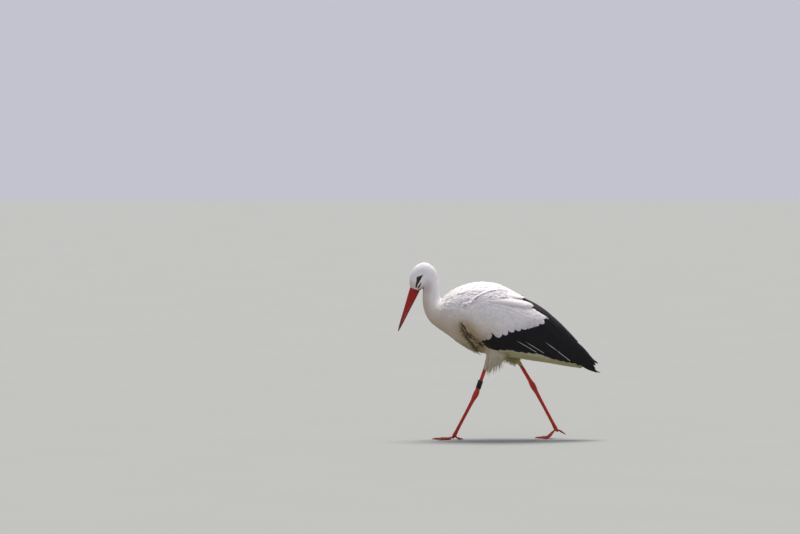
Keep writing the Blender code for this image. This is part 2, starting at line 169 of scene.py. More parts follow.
# Bare skin of the face: two black strokes and one under the chin, each as x, z and half width.
EYE_STROKE = (
    (-301, 659, 0.8), (-308, 652, 3.6), (-317.0, 644, 8.7), (-320.5, 632, 5.4), (-325, 621, 3.4),
    (-327, 610, 2.6),
)
GAPE_STROKE = ((-308, 627, 1.2), (-313, 617, 2.4), (-318, 608, 2.6))
CHIN_STROKE = ((-297, 606, 1.0), (-306, 601, 3.0), (-317, 596, 2.6))
EYE_AT = {side: (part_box(f"eye_{side}")[0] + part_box(f"eye_{side}")[1]) / 2 for side in SIDES}
EYE_RADIUS = (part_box("eye_left")[1].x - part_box("eye_left")[0].x) / 2
LID_OPENING = (5.7 * UNIT, 4.9 * UNIT)  # half length along the stroke of bare skin, and half height
LID_REACH = 1.6 * EYE_RADIUS  # how far the work on the lids goes from an eye's middle
FACE_REACH = 62 * UNIT  # the face is this near the bill's base


def stroke_distance(x, z, stroke):
    """How far outside a stroke a place lies, in UNITs, below 0 inside it."""
    nearest = 1e9
    for (ax, az, aw), (bx, bz, bw) in zip(stroke, stroke[1:]):
        length = (bx - ax) ** 2 + (bz - az) ** 2
        share = min(max(((x - ax) * (bx - ax) + (z - az) * (bz - az)) / length, 0), 1)
        away = math.dist((x, z), (ax + share * (bx - ax), az + share * (bz - az)))
        nearest = min(nearest, away - (aw + share * (bw - aw)))
    return nearest


def bare_distance(point):
    """How far a place on the head lies from the bare black skin, in UNITs."""
    x, z = point.x / UNIT, point.z / UNIT
    return min(stroke_distance(x, z, EYE_STROKE), stroke_distance(x, z, GAPE_STROKE))


def ramp(value, low, high):
    """0 below low, 1 above high, and a smooth step between."""
    share = min(max((value - low) / (high - low), 0), 1)
    return share * share * (3 - 2 * share)


COAT_DEPTH = {
    "head": 1.2, "neck": 1.5, "trunk": 3.0, "tail": 3.0, "thigh": 6.0, "shin": 0.35, "shank": 0.35,
    "toe": 0.3, "scapulars": 5.0, "coverts": 4.0, "tertials": 4.0, "secondaries": 2.5, "primaries": 1.5,
}  # in millimetres


def coat_depth(point):
    """How deep the coat is at a place on the form, in metres."""
    name = node_at(point)
    depth = COAT_DEPTH[name.split("_")[0]]
    if name == "head":
        back = (point - BILL_BASE).dot(BACKWARD) / UNIT
        depth *= 0.3 + 0.7 * ramp(back, 2, 20)
        depth *= ramp(bare_distance(point), -1, 7)
        eye = EYE_AT["left" if point.y < 0 else "right"]
        depth -= 0.9 * (1 - ramp((point - eye).length / EYE_RADIUS, 1.0, 1.5))
    return depth * MM


def made_finer(mesh, wanted):
    """Halves each edge whose middle meets a test."""
    fine = [edge for edge in mesh.edges if wanted((edge.verts[0].co + edge.verts[1].co) / 2)]
    bmesh.ops.subdivide_edges(mesh, edges=fine, cuts=1, use_grid_fill=True)


THIGH_FOOT = min(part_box(f"thigh_{side}")[0].z for side in SIDES)
skin_mesh = closed_round(FLESH + named("eye"), 3.2 * MM, 1)
made_finer(skin_mesh, lambda place: place.z < THIGH_FOOT or (place - BILL_BASE).length < FACE_REACH)
made_finer(
    skin_mesh, lambda place: min((place - eye).length for eye in EYE_AT.values()) < 2 * EYE_RADIUS
)
cad_flesh = merged_copy(FLESH + named("eye"))
CAD_SURFACE = BVHTree.FromBMesh(cad_flesh)
cad_flesh.free()
for vertex in skin_mesh.verts:
    if vertex.co.z < THIGH_FOOT:
        vertex.co = CAD_SURFACE.find_nearest(vertex.co)[0]
smoothed(skin_mesh, 3)
skin_mesh.verts.index_update()
depths = [coat_depth(vertex.co) for vertex in skin_mesh.verts]
ends = np.array([(edge.verts[0].index, edge.verts[1].index) for edge in skin_mesh.edges]).T
for _ in range(6):  # so that the depth changes gently from one node to the next
    sums, counts = np.array(depths), np.ones(len(depths))
    for first, second in (ends, ends[::-1]):
        np.add.at(sums, first, np.array(depths)[second])
        np.add.at(counts, first, 1)
    depths = sums / counts
for vertex, depth in zip(skin_mesh.verts, depths):
    vertex.co -= vertex.normal * float(depth)
    vertex.co.z = max(vertex.co.z, 0.0)

# Eyelids: the skin over each eyeball is opened and its rim is turned in.
STROKE_TILT = math.atan2(659 - 632, -301 + 321)
for side in SIDES:
    eye = EYE_AT[side]
    along = Vector((math.cos(STROKE_TILT), 0, math.sin(STROKE_TILT)))
    across = Vector((-along.z, 0, along.x))

    def opening(point):
        away = point - eye
        return math.hypot(away.dot(along) / LID_OPENING[0], away.dot(across) / LID_OPENING[1])

    near = [v for v in skin_mesh.verts if (v.co - eye).length < LID_REACH]
    inside = [v for v in near if v.co.y * SIDES[side] > abs(eye.y) and opening(v.co) < 0.92]
    bmesh.ops.delete(skin_mesh, geom=inside, context="VERTS")
    rim = [e for e in skin_mesh.edges if e.is_boundary and (e.verts[0].co - eye).length < LID_REACH]
    for vertex in {v for e in rim for v in e.verts}:
        away = vertex.co - eye
        reach = opening(vertex.co)
        flat = Vector((away.x, 0, away.z)) / reach
        out = math.sqrt(max((EYE_RADIUS + 0.75 * MM) ** 2 - flat.length ** 2, 0))
        vertex.co = eye + flat + Vector((0, SIDES[side] * out, 0))
    turned_in = bmesh.ops.extrude_edge_only(skin_mesh, edges=rim)["geom"]
    for vertex in [item for item in turned_in if isinstance(item, bmesh.types.BMVert)]:
        vertex.co = eye + (vertex.co - eye) * ((EYE_RADIUS - 0.4 * MM) / (vertex.co - eye).length)


def finished(name, mesh, replaced, material, crisp=60):
    """Makes a piece from a bmesh or mesh in metres, rides it on the body, and hides the CAD nodes it
    stands for.
    crisp is the angle in degrees above which its edges stay sharp, 0 for none."""
    if isinstance(mesh, bmesh.types.BMesh):
        data = bpy.data.meshes.new(name)
        mesh.to_mesh(data)
        mesh.free()
    else:
        data = mesh
        data.name = name
    data.shade_smooth()
    if crisp:
        data.set_sharp_from_angle(angle=math.radians(crisp))
    made = bpy.data.objects.new(name, data)
    bpy.context.scene.collection.objects.link(made)
    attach(made, "root")
    if replaced:
        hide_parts(*replaced)
    data.materials.append(material)
    return made


class Number:
    """A value in a material. Arithmetic on it adds Math nodes."""

    def __init__(self, finish, socket):
        self.finish = finish
        self.socket = socket

    def math(self, operation, *others, clamp=False):
        values = dict(enumerate((self, *others)))
        return self.finish.add("ShaderNodeMath", {"operation": operation, "use_clamp": clamp}, values)

    def __add__(self, other):
        return self.math("ADD", other)

    __radd__ = __add__

    def __sub__(self, other):
        return self.math("SUBTRACT", other)

    def __rsub__(self, other):
        return self.finish.add("ShaderNodeMath", {"operation": "SUBTRACT"}, {0: other, 1: self})

    def __mul__(self, other):
        return self.math("MULTIPLY", other)

    __rmul__ = __mul__

    def __truediv__(self, other):
        return self.math("DIVIDE", other)

    def __neg__(self):
        return self.math("MULTIPLY", -1)

    def step(self, low, high):
        """0 below low, 1 above high, smooth between; low may be above high."""
        settings = {"interpolation_type": "SMOOTHSTEP"}
        sockets = {0: self, 1: low, 2: high, 3: 0, 4: 1}
        if low > high:
            sockets = {0: self, 1: high, 2: low, 3: 1, 4: 0}
        return self.finish.add("ShaderNodeMapRange", settings, sockets)


class Finish:
    """A material under construction: a Principled BSDF and the nodes that feed it."""

    def __init__(self, name, **sockets):
        self.material = bpy.data.materials.new(name)
        self.material.use_nodes = True
        self.nodes = self.material.node_tree.nodes
        self.links = self.material.node_tree.links
        self.shader = self.nodes["Principled BSDF"]
        for socket, value in sockets.items():
            self.shader.inputs[socket.replace("_", " ")].default_value = value
        self.place = self.add("ShaderNodeTexCoord", {}, {}, "Object")

    def add(self, kind, settings, sockets, output=0):
        """Adds a node, its settings first and then its sockets, and returns one of its outputs."""
        node = self.nodes.new(kind)
        for key, value in settings.items():
            setattr(node, key, value)
        for key, value in sockets.items():
            if isinstance(value, Number):
                self.links.new(value.socket, node.inputs[key])
            else:
                node.inputs[key].default_value = value
        return Number(self, node.outputs[output])

    def feed(self, **sockets):
        for socket, value in sockets.items():
            self.links.new(value.socket, self.shader.inputs[socket.replace("_", " ")])

    def parts(self, vector):
        """A vector's three numbers."""
        node = self.add("ShaderNodeSeparateXYZ", {}, {0: vector}).socket.node
        return [Number(self, output) for output in node.outputs]

    def axes(self):
        """The place's x, y and z in UNITs."""
        return [part / UNIT for part in self.parts(self.place)]

    def tone(self, name="tone"):
        """What a mesh attribute says of the place."""
        return self.add("ShaderNodeAttribute", {"attribute_name": name}, {}, "Fac")

    def noise(self, size, detail=3.0, roughness=0.55, stretch=None):
        """Noise from 0 to 1 whose lumps are about `size` metres across."""
        place = self.place
        if stretch:
            place = self.add("ShaderNodeMapping", {}, {"Vector": place, "Scale": stretch})
        sockets = {"Vector": place, "Scale": 1 / size, "Detail": detail, "Roughness": roughness}
        return self.add("ShaderNodeTexNoise", {}, sockets)

    def mix(self, share, first, second):
        """A colour between two: plain colours have three parts."""
        first = first if isinstance(first, Number) else (*first, 1)
        second = second if isinstance(second, Number) else (*second, 1)
        return self.add("ShaderNodeMix", {"data_type": "RGBA"}, {0: share, 6: first, 7: second}, 2)

    def shaded(self, share, colour, tint):
        """A colour multiplied towards a tint."""
        settings = {"data_type": "RGBA", "blend_type": "MULTIPLY"}
        return self.add("ShaderNodeMix", settings, {0: share, 6: colour, 7: (*tint, 1)}, 2)

    def bump(self, height, strength, distance):
        sockets = {"Height": height, "Strength": strength, "Distance": distance}
        self.feed(Normal=self.add("ShaderNodeBump", {}, sockets))


def stroke_mask(finish, x, z, stroke, soft):
    """1 on a stroke of bare skin and 0 off it, with an edge `soft` UNITs wide."""
    mask = None
    for (ax, az, aw), (bx, bz, bw) in zip(stroke, stroke[1:]):
        length = math.dist((ax, az), (bx, bz))
        ux, uz = (bx - ax) / length, (bz - az) / length
        along = (x - ax) * ux + (z - az) * uz
        share = (along / length).math("MULTIPLY", 1, clamp=True)
        off_x = x - (share * (bx - ax) + ax)
        off_z = z - (share * (bz - az) + az)
        away = (off_x * off_x + off_z * off_z).math("SQRT") - (share * (bw - aw) + aw)
        piece = away.step(soft, 0.0)
        mask = piece if mask is None else mask.math("MAXIMUM", piece)
    return mask


# Where the mantle's ruffled feathers meet the wing, with painted mauve shade, as x, z and half width.
RIM_STROKE = ((-136, 540, 10.0), (-100, 562, 9.0), (-60, 580, 8.0), (-8, 593, 8.0), (30, 591, 5.0))
CHEEK = (-280, 612)  # x and z
HOLLOW_AT = (-146, 466)  # the upper end of the hollow before the wing, x and z
HOLLOW_WAY = (0.587, -0.81)  # and the way it runs from there
# Colours are linear red, green and blue.
# Painted shade for the ruffles over the shoulder.
RIM_SHADE_MAUVE = (0.64, 0.57, 0.66)
WHITE = (0.83, 0.80, 0.79)
# Cream: partly the plumage's own stain, partly painted shade on the underside.
CREAM_STAIN_AND_SHADE = (0.48, 0.39, 0.265)
# Painted shade with a painted green reflection from the ground, for the underside.
UNDERSIDE_OLIVE_SHADE = (0.34, 0.305, 0.105)
BARE_BLACK = (0.012, 0.010, 0.010)
# The next two are painted shade and shadow in the hollow before the wing.
HOLLOW_SHADE_TAN = (0.33, 0.24, 0.105)
HOLLOW_SHADOW_UMBER = (0.040, 0.021, 0.002)
# Painted light: the brighter white of the head and upper neck, where light falls from above.
CROWN_PAINTED_LIGHT = (0.95, 0.93, 0.93)
LORE_BEIGE = (0.56, 0.44, 0.33)
# Painted shade for the fold behind the jaw.
CHEEK_FOLD_SHADE = (0.50, 0.36, 0.35)
GULAR = (0.045, 0.036, 0.022)
LEG_RED = (0.46, 0.036, 0.010)
LEG_DARK = (0.20, 0.018, 0.009)


def plumage_colour(finish, hollow=1.0):
    """The white coat's colour at a place: painted light on the head and upper neck, cream below the neck
    that is partly stain and partly painted shade, olive painted shade under the tail and on the thighs,
    beige by the bill, pink painted shade in the cheek's fold, mauve painted shade over the shoulder,
    painted brown shadow in the hollow before the wing, black on the bare face. Skin and feathers both
    read it. hollow is how strong the painted brown shadow is."""
    x, y, z = finish.axes()
    cloud = finish.noise(0.035) - 0.5
    fine = finish.noise(0.006) - 0.5
    height = z + 0.30 * (x + 100) + cloud * 40
    # Cream below the neck: partly stain, partly painted shade on the underside.
    cream = height.step(545, 395) * 0.9 * x.step(60, -60)
    # Painted olive shade under the tail and on the thighs, with a painted green reflection from the
    # ground.
    under = (z + 0.18 * x + cloud * 22).step(400, 352) * x.step(-60, 50)
    # Painted light: brighter white from the upper neck to the crown, where light falls from above.
    colour = finish.mix(z.step(575, 640), WHITE, CROWN_PAINTED_LIGHT)
    colour = finish.mix(cream, colour, CREAM_STAIN_AND_SHADE)
    colour = finish.mix(under * 0.92, colour, UNDERSIDE_OLIVE_SHADE)
    from_bill = (x + 330) * 0.30 + (z - 606) * 0.95
    lores = from_bill.step(34, 4) * x.step(-262, -288) * (finish.noise(0.006) * 0.6 + 0.4)
    colour = finish.mix(lores * 0.75, colour, LORE_BEIGE)
    # Painted pink shade in the fold of the throat behind the jaw.
    off_x, off_z = x - CHEEK[0], z - CHEEK[1]
    off_cheek = (off_x * off_x + off_z * off_z * 0.4).math("SQRT")
    colour = finish.mix(off_cheek.step(30, 4) * 0.5, colour, CHEEK_FOLD_SHADE)
    # Painted mauve shade in the ruffles where the mantle meets the wing.
    ruffle = stroke_mask(finish, x + fine * 14, z + fine * 14, RIM_STROKE, 12.0)
    colour = finish.shaded(ruffle * finish.noise(0.009).step(0.3, 0.62) * 0.62, colour, RIM_SHADE_MAUVE)
    # Painted brown shadow in the recess before the wing: a tan band of shade with darker streaks in it.
    off_x, off_z = x - HOLLOW_AT[0], z - HOLLOW_AT[1]
    across = (off_z * HOLLOW_WAY[0] - off_x * HOLLOW_WAY[1]).math("ABSOLUTE")
    along = off_x * HOLLOW_WAY[0] + off_z * HOLLOW_WAY[1]
    streak = finish.noise(0.0035, stretch=(1.0, 1.0, 0.35)) - 0.5
    tan = (across + fine * 30).step(58, 10) * along.step(-40, 25) * along.step(185, 120)
    wide = along.step(-30, 50) * 19
    dark = (across + streak * 44 - wide).step(13, -6) * along.step(-22, 12) * along.step(142, 112)
    outer = y.math("ABSOLUTE").step(24, 42)
    colour = finish.mix(tan * outer * 0.8, colour, HOLLOW_SHADE_TAN)
    colour = finish.mix(dark * outer * hollow, colour, HOLLOW_SHADOW_UMBER)
    black = stroke_mask(finish, x + fine * 1.6, z, EYE_STROKE, 1.2)
    black = black.math("MAXIMUM", stroke_mask(finish, x + fine * 1.6, z, GAPE_STROKE, 1.2))
    colour = finish.mix(stroke_mask(finish, x + fine * 3, z, CHIN_STROKE, 3.0) * 0.8, colour, GULAR)
    return finish.mix(black, colour, BARE_BLACK)


def skin_finish():
    """The coat's colour under the feathers, and blotched red skin from the thighs' foot down."""
    finish = Finish("skin_bare_and_downy", Roughness=0.6)
    colour = plumage_colour(finish)
    _, _, z = finish.axes()
    blotch = finish.noise(0.02) * 0.5 + finish.noise(0.005) * 0.5
    red = finish.mix(blotch.step(0.38, 0.68), LEG_RED, LEG_DARK)
    leg = z.step(THIGH_FOOT / UNIT + 12, THIGH_FOOT / UNIT + 4)
    finish.feed(Base_Color=finish.mix(leg, colour, red))
    wrinkles = finish.noise(0.0016, 4.0) * 0.7 + finish.noise(0.0006) * 0.3
    finish.bump(wrinkles, 0.35, 0.0006)
    return finish.material


SKIN = BVHTree.FromBMesh(skin_mesh)
finished("skin", skin_mesh, FLESH, skin_finish(), 0)


# Eyes: glass balls with a slight bulge in front and a dull brown iris round a black pupil. They sit
# behind the lids.
def eye_finish(side):
    finish = Finish(f"glass_eye_{side}", Roughness=0.06, Coat_Weight=0.3)
    eye = EYE_AT[side]
    x, y, z = finish.axes()
    off_x, off_z = x - eye.x / UNIT, z - eye.z / UNIT
    away = (off_x * off_x + off_z * off_z).math("SQRT")
    spokes = finish.noise(0.0012, 3.0)
    iris = finish.mix(spokes, (0.022, 0.014, 0.009), (0.050, 0.034, 0.022))
    colour = finish.mix((away + spokes * 0.4).step(2.7, 2.3), iris, (0.004, 0.004, 0.004))
    colour = finish.mix(away.step(4.6, 5.4), colour, (0.008, 0.006, 0.006))
    finish.feed(Base_Color=colour)
    return finish.material


for side, sign in SIDES.items():
    ball = bmesh.new()
    bmesh.ops.create_uvsphere(ball, u_segments=48, v_segments=32, radius=EYE_RADIUS)
    bmesh.ops.rotate(ball, matrix=Matrix.Rotation(math.pi / 2, 3, "X"), verts=ball.verts)
    for vertex in ball.verts:
        front = max(vertex.co.y * sign / EYE_RADIUS, 0)
        vertex.co.y += sign * 0.35 * MM * max(0, (front - 0.8) / 0.2) ** 2
    bmesh.ops.translate(ball, vec=EYE_AT[side], verts=ball.verts)
    finished(f"eyeball_{side}", ball, [f"eye_{side}"], eye_finish(side), 0)


# Head and neck coat: very short, dense feathers that lie back from the bill over the crown and down the
# neck, silky below and a little ruffled over the brow. Each is a thin closed vane with a frayed tip.

# The way the coat lies: rows from the bill's edge to the tail's tip, each from a place on the back to
# one on the belly, x and z.
LIE = (
    (-351, 609, -313, 594), (-353, 628, -308, 600), (-352, 652, -304, 604), (-343, 676, -302, 607),
    (-324, 698, -301, 608), (-296, 709, -300, 609), (-270, 700, -299, 608), (-250, 680, -299, 607),
    (-240, 651, -299, 604), (-237, 622, -299, 597), (-235, 596, -300, 582), (-230, 572, -298, 552),
    (-227, 562, -292, 510), (-224, 563, -265, 465), (-200, 583, -204, 421), (-144, 615, -144, 379),
    (-60, 630, -60, 344), (50, 600, 50, 329), (120, 544, 120, 318), (200, 474, 200, 306),
    (280, 376, 280, 292), (335, 298, 335, 285),
)
LIE_TABLE = np.array(LIE, float) * UNIT
FAR = 0.5  # metres, well outside the bird


def lie_section(at):
    """The middle of a section across the bird, and the way from its belly to its back."""
    row = [float(np.interp(at, range(len(LIE)), LIE_TABLE[:, column])) for column in range(4)]
    back, belly = Vector((row[0], 0, row[1])), Vector((row[2], 0, row[3]))
    return (back + belly) / 2, (back - belly).normalized()


def spot(at, turn):
    """The place on the form at a row of LIE. turn is 0 on the back and 1 on the belly, and negative on
    the left."""
    middle, up = lie_section(at)
    out = up * math.cos(turn * math.pi) + Vector((0, 1, 0)) * math.sin(turn * math.pi)
    return FORM.ray_cast(middle + out * FAR, -out)[0]


def lie_at(at, turn, place):
    """The way the coat lies there."""
    middle, up = lie_section(at)
    later_middle, later_up = lie_section(at + 0.5)
    reach = (place - middle).length
    side = Vector((0, 1, 0)) * math.sin(turn * math.pi)
    now = middle + (up * math.cos(turn * math.pi) + side) * reach
    later = later_middle + (later_up * math.cos(turn * math.pi) + side) * reach
    return (later - now).normalized()


CELL = 6 * MM  # roots are looked up in boxes of this size
CROWDED = 0.66  # a root nearer another than this share of the pitch is left out


def scattered(chance, first, last, pitch, wanted):
    """Roots in staggered rows along the lie, `pitch(place, name)` metres apart, each as its place, lie,
    row of LIE, turn and CAD node."""
    roots, taken = [], {}
    at, row = first, 0
    while at < last:
        middle, _ = lie_section(at)
        travel = (lie_section(at + 0.1)[0] - middle).length / 0.1
        narrowest = 1e9
        turn = -1 + (row % 2) * 0.004
        while turn < 1:
            place = spot(at + chance.uniform(-0.15, 0.15) * 0.006 / travel, turn)
            if place is None:
                turn += 0.02
                continue
            name = node_at(place)
            gap = pitch(place, name)
            narrowest = min(narrowest, gap)
            radius = max((place - middle).length, 8 * MM)
            if wanted(place, name):
                cell = tuple(int(c / CELL) for c in place)
                near = (
                    (other - place).length < CROWDED * min(gap, other_gap)
                    for i in (-1, 0, 1)
                    for j in (-1, 0, 1)
                    for k in (-1, 0, 1)
                    for other, other_gap in taken.get((cell[0] + i, cell[1] + j, cell[2] + k), ())
                )
                if not any(near):
                    roots.append((place, lie_at(at, turn, place), at, turn, name))
                    taken.setdefault(cell, []).append((place, gap))
            turn += gap * chance.uniform(0.85, 1.15) / (radius * math.pi)
        at += max(narrowest, 1.5 * MM) * 0.85 / travel
        row += 1
    return roots


def pattern_of(mesh, thick=0):
    """A template's points and faces, made thick first, from a bmesh that is then done with."""
    if thick:
        bmesh.ops.solidify(mesh, geom=mesh.faces[:], thickness=thick)
    bmesh.ops.recalc_face_normals(mesh, faces=mesh.faces)
    points = np.array([vertex.co for vertex in mesh.verts])
    faces = [[vertex.index for vertex in face.verts] for face in mesh.faces]
    mesh.free()
    return points, faces


def vane(columns, rows, tip, fray, cup, thick, seed, root=0.35, widest=0.55, crowd=1.35):
    """A small feather lying flat, as points and faces, root at y 0, tip at y 1, half its width at x 1.
    tip and root are the widths kept at its ends, widest is where it is broadest, fray how ragged the
    tip is, cup how far its sides turn down, and crowd how much its rows gather at the tip."""
    chance = random.Random(seed)
    mesh = bmesh.new()
    bmesh.ops.create_grid(mesh, x_segments=columns, y_segments=rows, size=1)
    ragged = [chance.uniform(-1, 1) * fray for _ in range(64)]
    for vertex in mesh.verts:
        across, along = vertex.co.x, (vertex.co.y + 1) / 2
        along = 1 - (1 - along) ** crowd
        if along < widest:
            half = root + (1 - root) * math.sin(along / widest * math.pi / 2)
        else:
            half = tip + (1 - tip) * math.sqrt(max(0, 1 - ((along - widest) / (1 - widest)) ** 2))
        number = round((across + 1) / 2 * columns)
        tip_share = max(0, (along - widest) / (1 - widest))
        end = 1 - 0.16 * tip * across * across * tip_share
        if along > 0.98:
            end += ragged[number] - (fray * 0.8 if number % 2 else 0)
        x = across * half
        vertex.co = (x, along * end, -cup * x * x)
    return pattern_of(mesh, thick)


def spine_on(tree, place, lie, length, count, bend=0.0):
    """Points and facings along a surface from a place, following the lie."""
    point, facing, _, _ = tree.find_nearest(place)
    ahead = Vector(lie)
    points, facings = [point], [facing]
    for number in range(count - 1):
        ahead = (ahead - facing * ahead.dot(facing)).normalized()
        if bend:
            ahead = Matrix.Rotation(bend / (count - 1), 3, facing) @ ahead
        point, facing, _, _ = tree.find_nearest(point + ahead * length / (count - 1))
        points.append(point)
        facings.append(facing)
    return eased_spine(points, facings, 1)


def eased_spine(points, facings, passes=2):
    """The same spine with its small kinks smoothed out, its ends kept."""
    points, facings = np.array(points), np.array(facings)
    for _ in range(passes):
        points[1:-1] = (points[:-2] + 2 * points[1:-1] + points[2:]) / 4
        around = np.concatenate([facings[:1], facings, facings[-1:]])
        facings = (around[:-2] + 2 * around[1:-1] + around[2:]) / 4
    return points, facings / np.linalg.norm(facings, axis=1, keepdims=True)


class Coat:
    """Feathers gathered into one joined mesh."""

    def __init__(self):
        self.batches = {}

    def add(self, pattern, spine, half_width, sink, lift, patch, tone, curl=1.0):
        """One feather: its pattern's number, its points and facings on the form, its half width, how
        deep its root and how high its tip lie, the middle of its patch of OFBake, and its own tone. A
        curl below 1 brings it up early."""
        row = (np.array(spine[0]), np.array(spine[1]), half_width, sink, lift, patch, tone, curl)
        self.batches.setdefault((pattern, len(spine[0])), []).append(row)

    def mesh(self, patterns, patch_size=(0.003, 0.003)):
        """All the feathers as one mesh, bent along their spines, with their patches and tones."""
        points, corners, starts, uv_patch, uv_vane, tones = [], [], [], [], [], []
        first_point, first_corner = 0, 0
        for (number, _), rows in sorted(self.batches.items()):
            shape, faces = patterns[number]
            spine = np.stack([row[0] for row in rows])
            facing = np.stack([row[1] for row in rows])
            half, sink, lift, curl = (np.array([row[k] for row in rows])[:, None] for k in (2, 3, 4, 7))
            patch = np.array([row[5] for row in rows])
            tone = np.array([row[6] for row in rows])
            stations = spine.shape[1]
            along = np.clip(shape[:, 1], 0, 1.2) * (stations - 1)
            index = np.clip(along.astype(int), 0, stations - 2)
            share = (along - index)[None, :, None]
            middle = spine[:, index] * (1 - share) + spine[:, index + 1] * share
            out = facing[:, index] * (1 - share) + facing[:, index + 1] * share
            out /= np.linalg.norm(out, axis=2, keepdims=True)
            ahead = np.gradient(spine, axis=1)
            ahead = ahead[:, index] * (1 - share) + ahead[:, index + 1] * share
            side = np.cross(ahead, out)
            side /= np.linalg.norm(side, axis=2, keepdims=True)
            height = -sink + (sink + lift) * np.clip(shape[:, 1], 0, 1.1)[None, :] ** curl
            height = height + half * shape[None, :, 2]
            place = middle + side * (half * shape[None, :, 0])[:, :, None] + out * height[:, :, None]
            points.append(place.reshape(-1, 3))
            loops = np.concatenate([np.array(face) for face in faces])
            sizes = np.array([len(face) for face in faces])
            count = len(rows)
            offsets = first_point + np.arange(count)[:, None] * len(shape)
            corners.append((loops[None, :] + offsets).ravel())
            face_starts = np.concatenate([[0], np.cumsum(sizes)[:-1]])
            offsets = first_corner + np.arange(count)[:, None] * len(loops)
            starts.append((face_starts[None, :] + offsets).ravel())
            flat = np.stack([shape[loops, 0] * 0.5 + 0.5, np.clip(shape[loops, 1], 0, 1)], axis=1)
            spread = (flat - 0.5) * np.array(patch_size)
            uv_patch.append((patch[:, None, :] + spread[None]).reshape(-1, 2))
            uv_vane.append(np.broadcast_to(flat[None], (count, *flat.shape)).reshape(-1, 2))
            tones.append(np.repeat(tone, len(shape)))
            first_point += count * len(shape)
            first_corner += count * len(loops)
        data = bpy.data.meshes.new("coat")
        points, corners, starts = np.concatenate(points), np.concatenate(corners), np.concatenate(starts)
        data.vertices.add(len(points))
        data.vertices.foreach_set("co", points.astype(np.float32).ravel())
        data.loops.add(len(corners))
        data.loops.foreach_set("vertex_index", corners.astype(np.int32))
        data.polygons.add(len(starts))
        data.polygons.foreach_set("loop_start", starts.astype(np.int32))
        data.update(calc_edges=True)
        for layer, values in (("OFBake", uv_patch), ("vane", uv_vane)):
            layer = data.uv_layers.new(name=layer)
            layer.uv.foreach_set("vector", np.concatenate(values).astype(np.float32).ravel())
        data.uv_layers["OFBake"].active_render = True
        tone_layer = data.attributes.new("tone", "FLOAT", "POINT")
        tone_layer.data.foreach_set("value", np.concatenate(tones).astype(np.float32))
        return data


def patch_place(at, turn, first, last):
    """Where a root's patch lies on the unwrapped skin: round the body across it, bill to tail up it."""
    return (0.02 + 0.96 * (turn + 1) / 2, 0.02 + 0.96 * (at - first) / (last - first))


def feather_finish(name, colour_of, barbs=26, relief=0.45, roughness=0.75, **plain):
    """A coat's material: its colour at each place, shaded along each vane, with barbs in fine relief.
    barbs is how many lie along a vane."""
    finish = Finish(name, Roughness=roughness, **plain)
    across, along, _ = finish.parts(finish.add("ShaderNodeUVMap", {"uv_map": "vane"}, {}))
    off_shaft = (across - 0.5).math("ABSOLUTE")
    finish.feed(Base_Color=colour_of(finish, across, along, off_shaft, finish.tone()))
    strands = ((along - off_shaft * 0.9) * (barbs * math.tau)).math("SINE") * 0.5 + 0.5
    shaft = off_shaft.step(0.035, 0.0)
    finish.bump(strands * 0.6 + shaft * 1.2 + finish.noise(0.0009) * 0.4, relief, 0.0005)
    return finish.material


def white_feather(finish, across, along, off_shaft, tone):
    colour = plumage_colour(finish)
    # Painted shade: darker towards each vane's root, under the feathers that cover it, and a little at
    # its edges; tone darkens some at random.
    shade = along.step(0.75, 0.2) * 0.10 + off_shaft.step(0.36, 0.5) * 0.04 + tone * 0.07
    return finish.shaded(shade, colour, (0.50, 0.45, 0.48))


WHITE_FEATHER = feather_finish("white_feathers", white_feather)
chance = random.Random(7)

LOCKS = [vane(1, 3, 0.10, 0.02, 0.0, 0.10, seed, 0.6, 0.40) for seed in range(4)]
NECK_FOOT = 12.6


def head_pitch(place, name):
    if name == "head":
        return (1.55 + 0.55 * ramp((place - BILL_BASE).dot(BACKWARD) / UNIT, 0, 60)) * MM
    return (2.2 + 0.9 * ramp(-place.z / UNIT, -600, -480)) * MM


def face_wanted(place, name):
    return name == "head" and bare_distance(place) > 0.4


def neck_wanted(place, name):
    return name == "neck"


for coat_name, wanted, first, last in (
    ("head_feathers", face_wanted, 0.02, 12.0),
    ("neck_feathers", neck_wanted, 4.0, NECK_FOOT + 0.8),
):
    coat = Coat()
    for place, lie, at, turn, name in scattered(chance, first, last, head_pitch, wanted):
        pitch = head_pitch(place, name)
        brow = name == "head" and 0 < (place.z / UNIT - 640) < 45 and place.x / UNIT < -300
        length = pitch * chance.uniform(4.4, 6.0) * (0.75 if name == "head" else 1)
        lift = (1.0 if brow else 0.15) * chance.uniform(0.1, 1.0) * MM
        spine = spine_on(FORM, place, lie, length, 4, chance.uniform(-0.22, 0.22))
        patch = patch_place(at, turn, 0, NECK_FOOT + 1)
        sink = min(coat_depth(place) * 0.6, 0.6 * MM)
        half = pitch * (0.46 if name == "head" else 0.54)
        coat.add(chance.randrange(4), spine, half, sink, lift, patch, chance.random(), 0.8)
    finished(coat_name, coat.mesh(LOCKS), [], WHITE_FEATHER)


# Body coat: mantle, back, breast, belly and rump. Soft overlapping feathers a little larger than a
# thumbnail, in rows, loose at the tips; those of the breast and belly are longer and finer.

BODY_VANES = [vane(4, 4, 0.25, 0.025, 0.20, 0.03, 10 + seed, 0.45, 0.5, 1.6) for seed in range(5)]
WING_NODES = ("coverts", "secondaries", "primaries", "tertials")
WAIST = 500  # the height that parts the mantle's feathers from the breast's
LAP_ABOVE = 462  # above this height they may lap over the coverts and scapulars


def body_pitch(place, name):
    front = ramp(place.x / UNIT, -260, -120)
    return (4.6 + 3.6 * front) * MM


TOP_LOBES = np.array(((-104, 567), (-60, 590), (0, 604), (50, 597), (104, 566), (134, 539)), float)


def lobe_rim(x):
    """The height of the scapulars' upper edge at x."""
    return np.interp(x, TOP_LOBES[:, 0], TOP_LOBES[:, 1])


